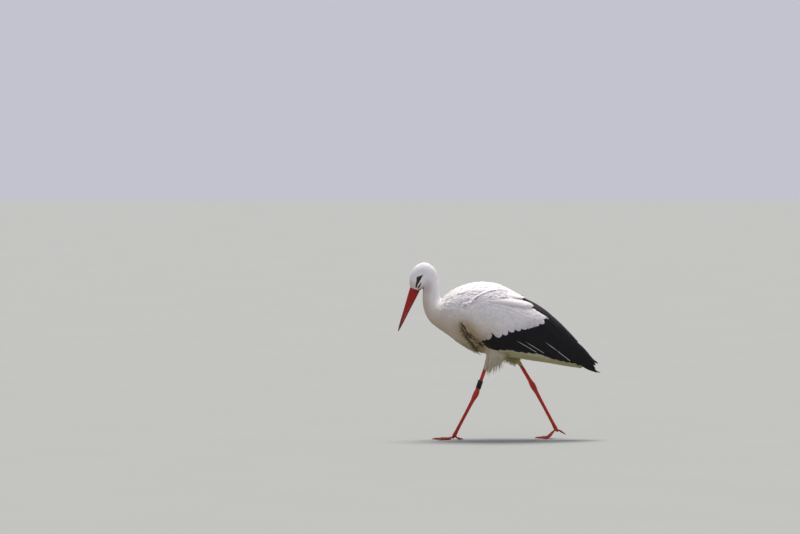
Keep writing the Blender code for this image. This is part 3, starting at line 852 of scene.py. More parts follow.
def mantle_wanted(place, name):
    x, z = place.x / UNIT, place.z / UNIT
    if name.startswith("scapulars"):
        return x < -60 or x < 78 and z > lobe_rim(x) - 5
    return name == "trunk" and z > WAIST


def breast_wanted(place, name):
    z = place.z / UNIT
    return name in ("trunk", "tail") and z <= WAIST or name == "neck" and z < 480


def bridging_row(coat):
    """Long feathers that lie from the mantle over the top edge of the scapulars on both sides."""
    for side in SIDES.values():
        for number in range(330):
            x = -124 + 0.5 * number + chance.uniform(-3, 3)
            rim = lobe_rim(x) - max(0, TOP_LOBES[0, 0] - x) * 0.9
            at_rim = number % 3 != 0
            z = rim + (chance.uniform(-4, 12) if at_rim else chance.uniform(-24, 16))
            hit = FORM.ray_cast(Vector((x * UNIT, side * FAR, z * UNIT)), Vector((0, -side, 0)))[0]
            if hit is None:
                continue
            length = (chance.uniform(24, 36) if at_rim else chance.uniform(17, 30)) * UNIT
            bend = chance.uniform(-0.3, 0.3)
            points, facings = spine_on(FORM, hit, Vector((0.80, side * 0.3, -0.38)), length, 7, bend)
            spine = eased_spine(points, facings, 8)
            patch = (0.5 + side * 0.3, (x + 130) / 300)
            half = chance.uniform(5.0, 7.5) * UNIT
            lift = chance.uniform(0.2, 1.3) * MM
            coat.add(number % 5, spine, half, 0.8 * MM, lift, patch, chance.random(), 0.7)


for coat_name, wanted in (
    ("mantle_feathers", mantle_wanted),
    ("breast_and_belly_feathers", breast_wanted),
):
    coat = Coat()
    for place, lie, at, turn, name in scattered(chance, NECK_FOOT - 1, 20.8, body_pitch, wanted):
        pitch = body_pitch(place, name)
        low = ramp(abs(turn), 0.45, 0.8)
        length = pitch * (2.8 + 1.4 * low) * chance.uniform(0.85, 1.2)
        mantle = (1 - low) * ramp(-place.x / UNIT, -60, 20)
        lift = (0.3 + 2.4 * mantle) * chance.uniform(0.0, 1.0) * MM
        bend = chance.uniform(-0.25, 0.25)
        for share in (1.0, 0.65, 0.4):  # cut short where its tip would reach over the wing
            spine = spine_on(FORM, place, lie, length * share, 5, bend)
            tip = Vector(spine[0][-1])
            over_rim = tip.z > LAP_ABOVE * UNIT and node_at(tip).startswith(("coverts", "scapulars"))
            clear = over_rim or not node_at(tip).startswith(WING_NODES)
            if clear:
                break
        if not clear:
            continue
        if over_rim:
            spine = eased_spine(*spine, 6)
            lift = chance.uniform(0.1, 0.7) * MM
        patch = patch_place(at, turn, NECK_FOOT - 1, 21)
        half = pitch * (0.78 - 0.28 * low)
        sink = (1.2 + 0.8 * mantle) * MM
        coat.add(chance.randrange(5), spine, half, sink, lift, patch, chance.random(), 0.8)
    if wanted is mantle_wanted:
        bridging_row(coat)
    finished(coat_name, coat.mesh(BODY_VANES), [], WHITE_FEATHER)


# Folded wings: each is a thin limb of skin and down, hidden by its feathers, which are laid over it in
# this order: primaries, secondaries, tertials, coverts and, from the shoulder, scapulars.


def beside(x, z, side):
    """The place on the form seen square from one side at x, z, in UNITs, or the nearest to that."""
    hit = FORM.ray_cast(Vector((x * UNIT, side * FAR, z * UNIT)), Vector((0, -side, 0)))[0]
    return hit or FORM.find_nearest(Vector((x * UNIT, side * 30 * UNIT, z * UNIT)))[0]


WING_MIDDLE = np.array(
    ((60, 460), (100, 448), (187, 416), (281, 355), (345, 311), (400, 268), (412, 258)), float
)  # x and z down the middle of the folded wing


def round_wing(x, turn, side):
    """The place on the form at x, turn 0 on top and 1 below, out from the folded wing's middle."""
    middle = Vector((x, 0, np.interp(x, WING_MIDDLE[:, 0], WING_MIDDLE[:, 1]))) * UNIT
    out = Vector((0, side * math.sin(turn * math.pi), math.cos(turn * math.pi)))
    return FORM.ray_cast(middle + out * FAR, -out)[0]


def spine_through(tree, places, passes):
    """A spine through the points of a surface nearest to some places, its kinks smoothed out."""
    nearest = [tree.find_nearest(place)[:2] for place in places]
    return eased_spine([point for point, _ in nearest], [facing for _, facing in nearest], passes)


def between(start, end, share):
    """The pair a share of the way from one pair to another."""
    return start[0] + (end[0] - start[0]) * share, start[1] + (end[1] - start[1]) * share


def feather_beside(start, end, side, count, bow=0.0):
    """A spine on the form between two places seen from the side, x and z in UNITs, bowed upwards by a
    share of the length."""
    places = []
    for number in range(count):
        share = number / (count - 1)
        x, z = between(start, end, share)
        places.append(beside(x, z + bow * math.dist(start, end) * math.sin(share * math.pi), side))
    return spine_through(FORM, places, 4)


def feather_round(start, end, side, count):
    """A spine between two places round the folded wing, each an x in UNITs and a turn."""
    places = [round_wing(*between(start, end, number / (count - 1)), side) for number in range(count)]
    return spine_through(FORM, places, 6)


BLACK_GROUPS = ("tertials", "secondaries", "primaries")
BLACK = (0.005, 0.0048, 0.0055)


def under_wing_finish():
    finish = Finish("wing_down", Roughness=0.8)
    finish.feed(Base_Color=finish.mix(finish.tone("black"), plumage_colour(finish), BLACK))
    finish.bump(finish.noise(0.002, 4.0), 0.5, 0.0008)
    return finish.material


UNDER_WING = under_wing_finish()
LIMB_NODES = named("scapulars", "coverts", "tertials", "secondaries")
for side_name in SIDES:
    names = [name for name in LIMB_NODES if name.endswith(side_name)]
    limb = closed_round(names, 3.4 * MM, 2)
    limb_tree = BVHTree.FromBMesh(limb)
    moved, black = [], []
    for vertex in limb.verts:
        name = node_at(vertex.co)
        depth = COAT_DEPTH[name.split("_")[0]] * MM if name.endswith(side_name) else 2.5 * MM
        hit = limb_tree.ray_cast(vertex.co - vertex.normal * 0.1 * MM, -vertex.normal, 30 * MM)[3]
        depth = min(depth, 0.40 * hit) if hit else depth
        moved.append((vertex, vertex.co - vertex.normal * depth))
        black.append(float(name.startswith(BLACK_GROUPS)))
    for vertex, place in moved:
        vertex.co = place
    under = finished(f"wing_under_{side_name}", limb, [], UNDER_WING, 0)
    under.data.attributes.new("black", "FLOAT", "POINT").data.foreach_set("value", black)


# Flight feathers: long black vanes with a faint violet gloss, partly painted into their colour as
# bluish patches and lighter edges, stiff and closed, each edge tucked under the next. The
# secondaries' tips make the wing's lower edge, the tertials cover the rump and the primaries stick
# out behind. A few show their pale shafts.


COLUMNS, ROWS = 8, 22
SHAFT_AT = 0.375  # the shaft's share of the way across


def quill(tip, point, seed, splits=3):
    """A long flight feather lying flat: like vane(), with a raised shaft off its middle and split edges.
    It narrows from point on, a share of the length, to tip, a share of the width."""
    chance = random.Random(seed)
    mesh = bmesh.new()
    bmesh.ops.create_grid(mesh, x_segments=COLUMNS, y_segments=ROWS, size=1)
    nicks = {}
    for _ in range(splits):
        edge, row = chance.choice((-1, 1)), chance.randrange(ROWS // 3, ROWS)
        nicks[edge, row] = chance.uniform(0.1, 0.3)
    for vertex in mesh.verts:
        across, along = vertex.co.x, (vertex.co.y + 1) / 2
        row = round(along * ROWS)
        number = round((across + 1) / 2 * COLUMNS)
        along = 1 - (1 - along) ** 1.2
        half = 0.55 + 0.45 * math.sin(min(along / 0.5, 1) * math.pi / 2)
        if along > point:
            half *= tip + (1 - tip) * math.sqrt(max(0, 1 - ((along - point) / (1 - point)) ** 2))
        nick = nicks.get((1 if across > 0 else -1, row), 0) if abs(across) > 0.99 else 0
        x = across * half * (1 - nick)
        ridge = 0.045 if number == SHAFT_AT * COLUMNS else 0
        vertex.co = (x, along, ridge - 0.10 * x * x)
    return pattern_of(mesh, 0.03)


def black_feather(finish, across, along, off_shaft, tone):
    """Black with a painted sheen of bluish patches and edges lighter with the tone; a tone near 1
    shows the outer part of the shaft pale.
    """
    # Painted sheen: bluish patches stand in for the gloss.
    gloss = finish.noise(0.05) * 0.5 + finish.noise(0.004) * 0.5
    colour = finish.mix(gloss.step(0.4, 0.7), (0.0040, 0.0038, 0.0040), (0.0090, 0.0090, 0.0130))
    # Painted highlight along the vane's edges, stronger with the tone.
    colour = finish.mix(off_shaft.step(0.30, 0.5) * 0.5 * tone, colour, (0.020, 0.019, 0.026))
    shaft = (across - SHAFT_AT).math("ABSOLUTE").step(0.035, 0.018)
    pale = shaft * tone.step(0.90, 0.97) * (along - (1 - tone) * 2.6).step(0.42, 0.6)
    return finish.mix(pale, colour, (0.62, 0.60, 0.57))


BLACK_FEATHER = feather_finish(
    "black_feathers", black_feather, barbs=90, roughness=0.5, Specular_IOR_Level=0.2
)
QUILLS = [quill(0.12, 0.80, 30 + seed) for seed in range(4)]
POINTED_QUILLS = [quill(0.05, 0.62, 40 + seed, 2) for seed in range(3)]


class FlightFeathers(Coat):
    """Long feathers, few enough for each to have its own strip of OFBake."""

    def place(self, pattern, spine, half_width, sink, lift, tone, curl=1.0):
        """One feather, its half width in UNITs, its sink and lift in millimetres."""
        self.add(pattern, spine, half_width * UNIT, sink * MM, lift * MM, (0, 0), tone, curl)

    def made(self, name, patterns, replaced):
        """Makes the piece, its strips side by side."""
        count = sum(len(rows) for rows in self.batches.values())
        number = 0
        for rows in self.batches.values():
            for index, row in enumerate(rows):
                rows[index] = (*row[:5], ((number + 0.5) / count, 0.5), *row[6:])
                number += 1
        mesh = self.mesh(patterns, (0.9 / count, 0.96))
        finished(name, mesh, [replaced], BLACK_FEATHER)


SECONDARY_TIPS = (
    (-24, 367), (4, 358), (32, 358), (62, 357), (92, 351), (122, 348), (152, 345), (182, 341),
    (210, 331), (236, 321), (262, 314), (286, 309), (308, 306), (326, 308), (340, 316),
)
PALE_SHAFTS = {6: 0.965, 7: 0.95, 11: 1.0}  # which secondaries show them, and how brightly
PRIMARIES = (
    ((181, 398), (346, 290), 0.01, -0.8), ((201, 387), (366, 279), 0.01, -0.9),
    ((223, 378), (388, 267), 0.02, -1.1), ((245, 368), (410, 251), 0.03, -1.0),
    ((240, 384), (398, 268), 0.04, -0.9), ((238, 394), (390, 282), 0.05, -0.8),
    ((236, 402), (384, 292), 0.07, -0.7), ((238, 406), (392, 296), 0.085, -0.65),
    ((240, 412), (403, 303), 0.10, -0.6), ((236, 424), (388, 314), 0.10, -0.4),
    ((230, 436), (366, 334), 0.08, -0.2), ((220, 448), (344, 356), 0.06, 0.0),
    ((210, 460), (322, 378), 0.04, 0.2),
)  # root and tip, x and z, then how far it bows as a share of its length, then its lift in millimetres
FORM_END = 394  # the x at which the form is still broad enough to lay a tip on
TERTIALS = 9
for side_name, side in SIDES.items():
    wing = FlightFeathers()
    for number, (root, tip, bow, lift) in enumerate(PRIMARIES):
        points, facings = feather_beside(root, (min(tip[0], FORM_END), tip[1]), side, 14, bow)
        points[-1][0] = tip[0] * UNIT
        wing.place(number % 3, (points, facings), 10.5, 2.4, lift, chance.random() * 0.85)
    wing.made(f"primary_feathers_{side_name}", POINTED_QUILLS, f"primaries_{side_name}")
    wing = FlightFeathers()
    for number, (x, z) in enumerate(SECONDARY_TIPS):
        share = number / (len(SECONDARY_TIPS) - 1)
        slope = math.radians(20 + 21 * share)
        length = 134 + 95 * math.sin(share * math.pi * 0.62)
        root = (x - length * math.cos(slope), z + length * math.sin(slope))
        tone = PALE_SHAFTS.get(number, chance.random() * 0.85)
        spine = feather_beside(root, (x, z + 3), side, 14, 0.02)
        wing.place(number % 4, spine, 15 + 2 * share, 2.6 - 0.10 * number, -1.3 + 0.1 * number, tone)
    wing.made(f"secondary_feathers_{side_name}", QUILLS, f"secondaries_{side_name}")
    wing = FlightFeathers()
    for number in range(TERTIALS):
        share = number / (TERTIALS - 1)
        start = (126 - 50 * share, 0.36 - 0.38 * share)
        spine = feather_round(start, (308 + 16 * share, 0.30 - 0.32 * share), side, 14)
        tone = chance.random() * 0.85
        wing.place(number % 4, spine, 20, 4.6 - 0.1 * number, -0.4 + 0.12 * number, tone, 0.45)
    wing.made(f"tertial_feathers_{side_name}", QUILLS, f"tertials_{side_name}")


# Wing coverts: broad rounded white feathers, small at the shoulder and large at their last row, whose
# tips make a scalloped edge over the black. The scapulars are long white lobes hung over them.
def wing_feather(finish, across, along, off_shaft, tone):
    """A covert: white, greyer with painted shade towards the wing's lower edge, where the wing turns
    under, and more mottled there; darker towards its root with painted shade.
    """
    colour = plumage_colour(finish, 0.0)
    x, _, z = finish.axes()
    above_tips = z - x * 0.306 + finish.noise(0.03) * 30
    # Painted shade: greyer towards the lower edge, where the wing turns under.
    low = above_tips.step(482, 425) * 0.42
    mottle = finish.noise(0.012).step(0.42, 0.68) * 0.16
    shade = along.step(0.75, 0.2) * 0.10 + off_shaft.step(0.36, 0.5) * 0.05 + tone * 0.14 + low + mottle
    return finish.shaded(shade, colour, (0.50, 0.475, 0.52))


def lobe_feather(finish, across, along, off_shaft, tone):
    """A scapular: painted peach and grey shade along its edges, where the next one shades it, and
    towards its root.
    """
    colour = wing_feather(finish, across, along, off_shaft, tone)
    # Painted shade along the edges and towards the root of each lobe.
    edge = off_shaft.step(0.16, 0.48) * (finish.noise(0.014) * 0.7 + 0.4) + along.step(0.6, 0.1) * 0.2
    return finish.shaded(edge, colour, (0.72, 0.56, 0.50))


WING_WHITE = feather_finish("wing_white_feathers", wing_feather, barbs=70, relief=0.2)
LOBE_WHITE = feather_finish("scapular_feathers", lobe_feather, barbs=70, relief=0.2)
SHOULDER = (-172, 582)  # the coverts spread away from here
COVERT_VANES = [vane(6, 6, 0.55, 0.035, 0.16, 0.035, 50 + seed, 0.5, 0.6) for seed in range(5)]
LOBE_VANES = [vane(8, 10, 0.06, 0.01, 0.46, 0.03, 60 + seed, 0.5, 0.55, 1.6) for seed in range(4)]
GREAT_COVERTS = (
    (-80, 391, 12), (-62, 396, 14), (-38, 404, 20), (6, 413, 19), (33, 422, 15), (60, 434, 15.5),
    (87, 440, 15), (113, 446, 15), (138, 453, 15), (162, 460, 15), (184, 468, 14), (201, 478, 13),
    (190, 489, 14), (172, 502, 14), (153, 516, 13),
)  # each tip's x and z, and the half width
GREAT_LENGTH = 72
ROUND_VANES = [vane(8, 9, 0.10, 0.004, 0.16, 0.035, 80 + seed, 0.5, 0.60, 1.6) for seed in range(4)]
SCAPULAR_LOBES = (
    ((-84, 592), (0, 604), 15, 1.0), ((-60, 598), (44, 600), 15, 1.0),
    ((-20, 600), (76, 590), 15, 1.2), ((-96, 574), (-10, 576), 14, 1.0),
    ((10, 596), (96, 578), 14, 1.2), ((-64, 572), (70, 577), 20, 2.4),
    ((-60, 576), (92, 572), 19, 4.4), ((-54, 578), (105, 568), 18, 6.0),
    ((-76, 556), (50, 546), 14, 2.0), ((-62, 553), (92, 541), 18, 4.6),
    ((-56, 555), (116, 538), 21, 7.0), ((-48, 556), (137, 533), 22, 9.0),
)  # start and end, x and z, then half width, then how far the tip stands off in millimetres
LOW_LOBES = np.array(((-104, 561), (-60, 546), (-14, 533), (40, 529), (90, 525), (134, 533)), float)


def side_patch(x, z):
    """Where the patch of a feather seen at x, z from the side lies."""
    return (0.5 + x / 800, z / 700)


def hidden_row(x, z):
    """Whether a place lies just under the scapulars' lower edge."""
    edge = np.interp(x, LOW_LOBES[:, 0], LOW_LOBES[:, 1])
    return -90 < x < 140 and edge - 3 < z < edge + 14


for side_name, side in SIDES.items():
    coat = Coat()
    far_row = 0
    for number, (x, z, half) in enumerate(GREAT_COVERTS):
        bearing = math.radians(-82 + 4.9 * number if number < 12 else -20 + 6 * (number - 12))
        root = (x - GREAT_LENGTH * math.cos(bearing), z - GREAT_LENGTH * math.sin(bearing))
        spine = feather_beside(root, (x, z), side, 6)
        lift = (1.7 - 0.07 * number) * MM
        which = len(COVERT_VANES) + number % 4
        coat.add(which, spine, half * UNIT, 2.0 * MM, lift, side_patch(x, z), chance.random(), 0.7)
    distance = 26  # from the shoulder, row by row
    while distance < 385:
        gap = 7.5 + 7 * ramp(distance, 20, 240)
        bearing = -1.5 + (gap / distance) * 0.5 * (far_row % 2)
        while bearing < 0.25:
            wander = distance + chance.uniform(-0.3, 0.3) * gap
            x, z = SHOULDER[0] + wander * math.cos(bearing), SHOULDER[1] + wander * math.sin(bearing)
            place = beside(x, z, side)
            if place and (node_at(place) == f"coverts_{side_name}" or hidden_row(x, z)):
                lie = Vector((math.cos(bearing), 0, math.sin(bearing)))
                beyond = gap * 2.7 + 12 if bearing > -1.0 else gap * 2.1
                end = beside(x + lie.x * beyond, z + lie.z * beyond, side)
                if end and node_at(end) in (f"coverts_{side_name}", f"scapulars_{side_name}"):
                    spine = spine_on(FORM, place, lie, gap * 2.7 * UNIT, 5, chance.uniform(-0.12, 0.12))
                    lift = (0.2 + 0.5 * chance.random()) * MM
                    coat.add(
                        chance.randrange(5), spine, gap * 0.80 * UNIT, 1.2 * MM, lift,
                        side_patch(x, z), chance.random(), 0.8,
                    )
            bearing += gap * chance.uniform(0.95, 1.15) / distance
        distance += gap * 0.85
        far_row += 1
    for z in range(440, 532, 6):  # the front of the wing, where the coverts turn in round its edge
        for y in range(62, 106, 6):
            off_y, off_z = chance.uniform(-2, 2), chance.uniform(-2, 2)
            ahead_of = Vector((-300, side * (y + off_y), z + off_z)) * UNIT
            place = FORM.ray_cast(ahead_of, Vector((1, 0, 0)))[0]
            if place and node_at(place) == f"coverts_{side_name}":
                lie = Vector((0.4, side * 0.7, -0.6))
                spine = spine_on(FORM, place, lie, 24 * UNIT, 5, chance.uniform(-0.2, 0.2))
                coat.add(
                    chance.randrange(5), spine, 6.5 * UNIT, 0.9 * MM, 0.5 * MM,
                    side_patch(side * y, z), chance.random(), 0.8,
                )
    mesh = coat.mesh(COVERT_VANES + ROUND_VANES)
    replaced = [f"coverts_{side_name}"]
    finished(f"covert_feathers_{side_name}", mesh, replaced, WING_WHITE)
    coat = Coat()
    for number, (start, end, half, lift) in enumerate(SCAPULAR_LOBES):
        spine = feather_beside(start, end, side, 9, 0.05)
        sink = (2.0 if number < 9 else 0.8) * MM
        tone = chance.random() * 0.5
        coat.add(number % 4, spine, half * UNIT, sink, lift * MM, side_patch(*start), tone, 0.6)
    mesh = coat.mesh(LOBE_VANES)
    replaced = [f"scapulars_{side_name}"]
    finished(f"scapular_feathers_{side_name}", mesh, replaced, LOBE_WHITE)


# Loose plumes: long, loose, pointed feathers of the lower neck and breast, which hang clear of the
# body at their tips, and the darker ones in the hollow in front of the folded wing, which carry its
# painted brown shadow.
def plume_feather(finish, across, along, off_shaft, tone):
    """A plume: only one with a high tone takes the hollow's painted brown shadow; each is darker
    towards its root with painted shade.
    """
    colour = plumage_colour(finish, tone.step(0.42, 0.62))
    return finish.shaded(along.step(0.6, 0.1) * 0.2 + tone * 0.15, colour, (0.50, 0.45, 0.40))


PLUME = feather_finish("loose_plumes", plume_feather)
PLUMES = [vane(2, 5, 0.06, 0.02, 0.12, 0.05, 70 + seed, 0.55, 0.35) for seed in range(4)]
coat = Coat()
for side in SIDES.values():
    for number in range(90):
        x = chance.uniform(-200, -112)
        below = Vector((x, side * chance.uniform(0, 46), 250)) * UNIT
        place = FORM.ray_cast(below, Vector((0, 0, 1)))[0]
        if place is None or node_at(place) not in ("trunk", "neck"):
            continue
        lie = Vector((0.80, -side * 0.12, -0.60))
        length = chance.uniform(40, 64) * UNIT
        spine = spine_on(FORM, place, lie, length * 0.6, 7, side * chance.uniform(-0.2, 0.2))
        hang = np.linspace(0, 1, 7)[:, None] ** 1.6 * length * 0.4
        spine = (spine[0] + np.array(((0.75, 0, -0.62),)) * hang, spine[1])
        patch = (0.5 + side * 0.2 + x / 1000, place.z / UNIT / 700)
        half = chance.uniform(1.6, 3.0) * UNIT
        coat.add(number % 4, spine, half, 1.2 * MM, 0.4 * MM, patch, chance.random() * 0.5)
    for number in range(130):
        share = chance.random()
        x, z = -166 + 84 * share + chance.uniform(-12, 10), 492 - 116 * share + chance.uniform(-8, 8)
        place = beside(x, z, side)
        lie = Vector((0.50, 0, -0.86))
        length = chance.uniform(28, 52) * UNIT
        spine = spine_on(FORM, place, lie, length, 7, side * chance.uniform(-0.25, 0.25))
        patch = (0.5 + side * 0.2 + x / 1000, z / 700)
        half = chance.uniform(0.8, 1.9) * UNIT
        lift = chance.uniform(0.8, 2.4) * MM
        coat.add(number % 4, spine, half, 0.8 * MM, lift, patch, chance.random())
finished("breast_plumes", coat.mesh(PLUMES), [], PLUME)


# Thighs: long soft feathers round each drumstick, thick on the thigh and thinner towards its foot,
# which end in a loose fringe over the bare shin.
THIGH_LINES = {
    "left": (
        (4, -43, 424), (0, -43, 372), (-9, -43, 340), (-21, -43, 320), (-35, -43, 305), (-48, -43, 293)
    ),
    "right": (
        (20, 43, 424), (34, 43, 372), (50, 43, 344), (62, 43, 328), (73, 43, 317), (84, 43, 306)
    ),
}  # down the middle of each
THIGH_REACH = 62 * UNIT


def on_line(line, share):
    """The place at a share of the way along a line of points in UNITs, and the way it runs there."""
    at = share * (len(line) - 1)
    number = min(int(at), len(line) - 2)
    first, second = Vector(line[number]), Vector(line[number + 1])
    return first.lerp(second, at - number) * UNIT, (second - first).normalized()


def round_limb(chance, tree, line, first, last, pitch, reach):
    """Places in staggered rows down a limb: place, the way down it, share of the way, turn."""
    share, row = first, 0
    total = sum(math.dist(a, b) for a, b in zip(line, line[1:])) * UNIT
    while share < last:
        middle, down = on_line(line, share)
        out = down.cross(Vector((0, 1, 0))).normalized()
        hit = tree.ray_cast(middle, out, reach)[0]
        radius = (hit - middle).length if hit else 6 * MM
        count = max(6, round(2 * math.pi * radius / pitch))
        for number in range(count):
            turn = (number + 0.5 * (row % 2) + chance.uniform(-0.12, 0.12)) / count
            way = Matrix.Rotation(turn * 2 * math.pi, 3, down) @ out
            place = tree.ray_cast(middle, way, reach)[0]
            if place:
                yield place, down, share, turn
        share += pitch * 0.87 / total
        row += 1


coat = Coat()
for side_name, side in SIDES.items():
    line = THIGH_LINES[side_name]
    for place, down, share, turn in round_limb(chance, FORM, line, 0.12, 0.99, 5.4 * MM, THIGH_REACH):
        name = node_at(place)
        if not (name.startswith("thigh") or place.z < 385 * UNIT and name == "trunk"):
            continue
        length = chance.uniform(20, 30) * MM * (1 - 0.25 * share)
        spine = spine_on(FORM, place, down, length, 5, chance.uniform(-0.25, 0.25))
        patch = (0.25 + 0.5 * (side > 0) + 0.4 * (turn - 0.5), share)
        half = 3.3 * MM * (1 - 0.4 * share)
        coat.add(
            chance.randrange(5), spine, half, 2.0 * MM, chance.uniform(0, 0.8) * MM,
            patch, chance.random(), 0.8,
        )
finished("thigh_feathers", coat.mesh(BODY_VANES), [], WHITE_FEATHER)
coat = Coat()
for side_name, side in SIDES.items():
    line = THIGH_LINES[side_name]
    for number in range(260):
        share, turn = chance.uniform(0.35, 0.93 if side < 0 else 0.84), chance.random() * 2 * math.pi
        middle, down = on_line(line, share)
        out = Matrix.Rotation(turn, 3, down) @ down.cross(Vector((0, 1, 0))).normalized()
        place = FORM.ray_cast(middle, out, THIGH_REACH)[0]
        if place is None or not node_at(place).startswith("thigh"):
            continue
        hang = (down * 0.55 + Vector((0.25, 0, -0.75))).normalized()
        length = chance.uniform(12, 36 if side < 0 else 20) * MM
        facing = FORM.find_nearest(place)[1]
        stand_off = facing * 1.2 * MM
        points = [place + hang * length * k / 6 + stand_off * math.sin(k / 6 * 2) for k in range(7)]
        patch = (0.25 + 0.5 * (side > 0) + 0.06 * math.cos(turn), share)
        half = chance.uniform(0.5, 1.1) * MM
        coat.add(number % 4, (points, [facing] * 7), half, 1.2 * MM, 0.0, patch, chance.random() * 0.3)
finished("thigh_fringe", coat.mesh(PLUMES), [], WHITE_FEATHER)


# Tail: twelve broad white feathers under the wing tips, each with a vane on the tail's upper face and
# one on its lower.
TAIL = BVHTree.FromBMesh(merged_copy(["tail"]))
tail_low, tail_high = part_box("tail")
coat = Coat()
for side, face_z in [(side, z) for side in SIDES.values() for z in (tail_low.z, tail_high.z)]:
    for number in range(6):
        outward = side * (4 + 38 * number / 5) * UNIT
        places = []
        for step in range(9):
            x = tail_low.x + (tail_high.x - tail_low.x) * (0.30 + 0.70 * step / 8)
            places.append(Vector((x, outward * (0.5 + 0.5 * step / 8), face_z)))
        spine = spine_through(TAIL, places, 2)
        patch = (0.5 + side * 0.04 * (number + 1), 0.3 if face_z == tail_low.z else 0.7)
        lift = (0.9 - 0.12 * number) * MM
        coat.add(number % 4, spine, 9 * UNIT, 1.6 * MM, lift, patch, chance.random())
finished("tail_feathers", coat.mesh(LOBE_VANES), [], WHITE_FEATHER)


# Bill: two long horn mandibles, deep at the base and drawn to a point, red with a duskier tip. Each
# nostril is a slit in a shallow groove near the feathers.


def smooth_copy(name, levels):
    """A CAD node's own shape, its triangles paired and its faces rounded, sharp edges kept."""
    mesh = merged_copy([name])
    flat, square, sharp = math.radians(35), math.radians(60), math.radians(48)
    bmesh.ops.join_triangles(
        mesh, faces=mesh.faces[:], angle_face_threshold=flat, angle_shape_threshold=square
    )
    crease = mesh.edges.layers.float.new("crease_edge")
    for edge in mesh.edges:
        edge[crease] = 0.85 if len(edge.link_faces) == 2 and edge.calc_face_angle() > sharp else 0
    return evaluated(mesh, ("SUBSURF", {"levels": levels, "render_levels": levels}))


def bill_finish():
    """Red horn grained along the bill, duskier outwards, with painted shade in a dark line where the
    mouth closes.
    """
    finish = Finish("bill_horn", Roughness=0.45, Specular_IOR_Level=0.3)
    x, y, z = finish.axes()
    off_x, off_z = x - BILL_BASE.x / UNIT, z - BILL_BASE.z / UNIT
    out = -(off_x * BACKWARD.x + off_z * BACKWARD.z)
    up = off_x * CROWNWARD.x + off_z * CROWNWARD.z
    grain_place = finish.add("ShaderNodeCombineXYZ", {}, {0: out * 0.03, 1: y * 0.8, 2: up * 0.8})
    grain = finish.add("ShaderNodeTexNoise", {}, {"Vector": grain_place, "Scale": 1.0, "Detail": 4.0})
    blotch = finish.noise(0.012)
    colour = finish.mix(grain * 0.5 + blotch * 0.5, (0.43, 0.010, 0.010), (0.28, 0.007, 0.008))
    dusk = (out - up * 1.6 + blotch * 30).step(95, 195)
    colour = finish.mix(dusk * 0.75, colour, (0.14, 0.022, 0.016))
    # Painted shade in the crease where the mouth closes.
    mouth = (up + 2.2 - out * 0.011).math("ABSOLUTE").step(1.6, 0.4)
    colour = finish.mix(mouth * 0.75, colour, (0.05, 0.008, 0.007))
    base = out.step(9, 2) * 0.5
    colour = finish.mix(base, colour, (0.20, 0.020, 0.018))
    finish.feed(Base_Color=colour, Roughness=0.36 + grain * 0.22)
    finish.bump(grain * 0.8 + finish.noise(0.0008) * 0.2, 0.30, 0.0006)
    return finish.material


BILL_HORN = bill_finish()
NOSTRIL = (27, 9.5, 10.5, 1.25)  # out along the bill, above its axis, half length and half height
for name in ("bill_upper", "bill_lower"):
    mandible = smooth_copy(name, 3)
    if name == "bill_upper":
        out_at = {v: -(v.co - BILL_BASE).dot(BACKWARD) / UNIT for v in mandible.verts}
        fine = [e for e in mandible.edges if abs(out_at[e.verts[0]] - NOSTRIL[0]) < 20]
        bmesh.ops.subdivide_edges(mandible, edges=fine, cuts=2, use_grid_fill=True)
        mandible.normal_update()
        for vertex in mandible.verts:
            away = vertex.co - BILL_BASE
            out, up = -away.dot(BACKWARD) / UNIT, away.dot(CROWNWARD) / UNIT
            line = NOSTRIL[1] - 0.03 * (out - NOSTRIL[0])
            off_slit = math.hypot((out - NOSTRIL[0]) / NOSTRIL[2], (up - line) / NOSTRIL[3])
            slit = 1 - ramp(off_slit, 0.5, 1.15)
            groove = math.exp(-(((up - line) / 2.6) ** 2)) * (1 - ramp(out, 40, 90)) * ramp(out, 4, 18)
            depth = min(1.7 * slit + 0.45 * groove, abs(vertex.co.y) / MM) * MM
            vertex.co.y -= math.copysign(depth, vertex.co.y)
    finished(f"mandible_{name[5:]}", mandible, [name], BILL_HORN, 40)


# Claws: short nails of dark horn with paler streaks, in the CAD's own shape made round. Each of the
# eight is a piece of its own.
claw_horn = Finish("claw_horn", Roughness=0.42)
claw_grain = claw_horn.noise(0.0014, 3.0)
claw_horn.feed(Base_Color=claw_horn.mix(claw_grain, (0.030, 0.020, 0.016), (0.085, 0.062, 0.050)))
claw_horn.bump(claw_grain, 0.3, 0.0003)
for name in named("claw"):
    finished(f"nail_{name[5:]}", smooth_copy(name, 2), [name], claw_horn.material, 0)


# Leg scales: small six-sided plates all over the shin and shank, and broad plates in a row along the
# top of each toe, over red skin.
LEG_LINES = {
    "left": ((-62, -44, 262), (-87, -44, 186), (-177, -31, 12)),
    "right": ((108, 44, 268), (140, 44, 215), (236, 31, 35)),
}  # down the middle of each


def plate(thick, dome, inner):
    """A flat six-sided plate with a raised middle, as points and faces, one half width wide."""
    mesh = bmesh.new()
    bmesh.ops.create_circle(mesh, cap_ends=True, segments=6, radius=1.0)
    bmesh.ops.rotate(mesh, matrix=Matrix.Rotation(math.pi / 6, 3, "Z"), verts=mesh.verts)
    top = bmesh.ops.extrude_face_region(mesh, geom=mesh.faces[:])["geom"]
    corners = [v for v in top if isinstance(v, bmesh.types.BMVert)]
    bmesh.ops.translate(mesh, vec=(0, 0, thick), verts=corners)
    face = [f for f in top if isinstance(f, bmesh.types.BMFace)]
    bmesh.ops.inset_region(mesh, faces=face, thickness=inner, depth=dome)
    for vertex in mesh.verts:
        vertex.co.y = vertex.co.y * 0.5 + 0.5
    return pattern_of(mesh)


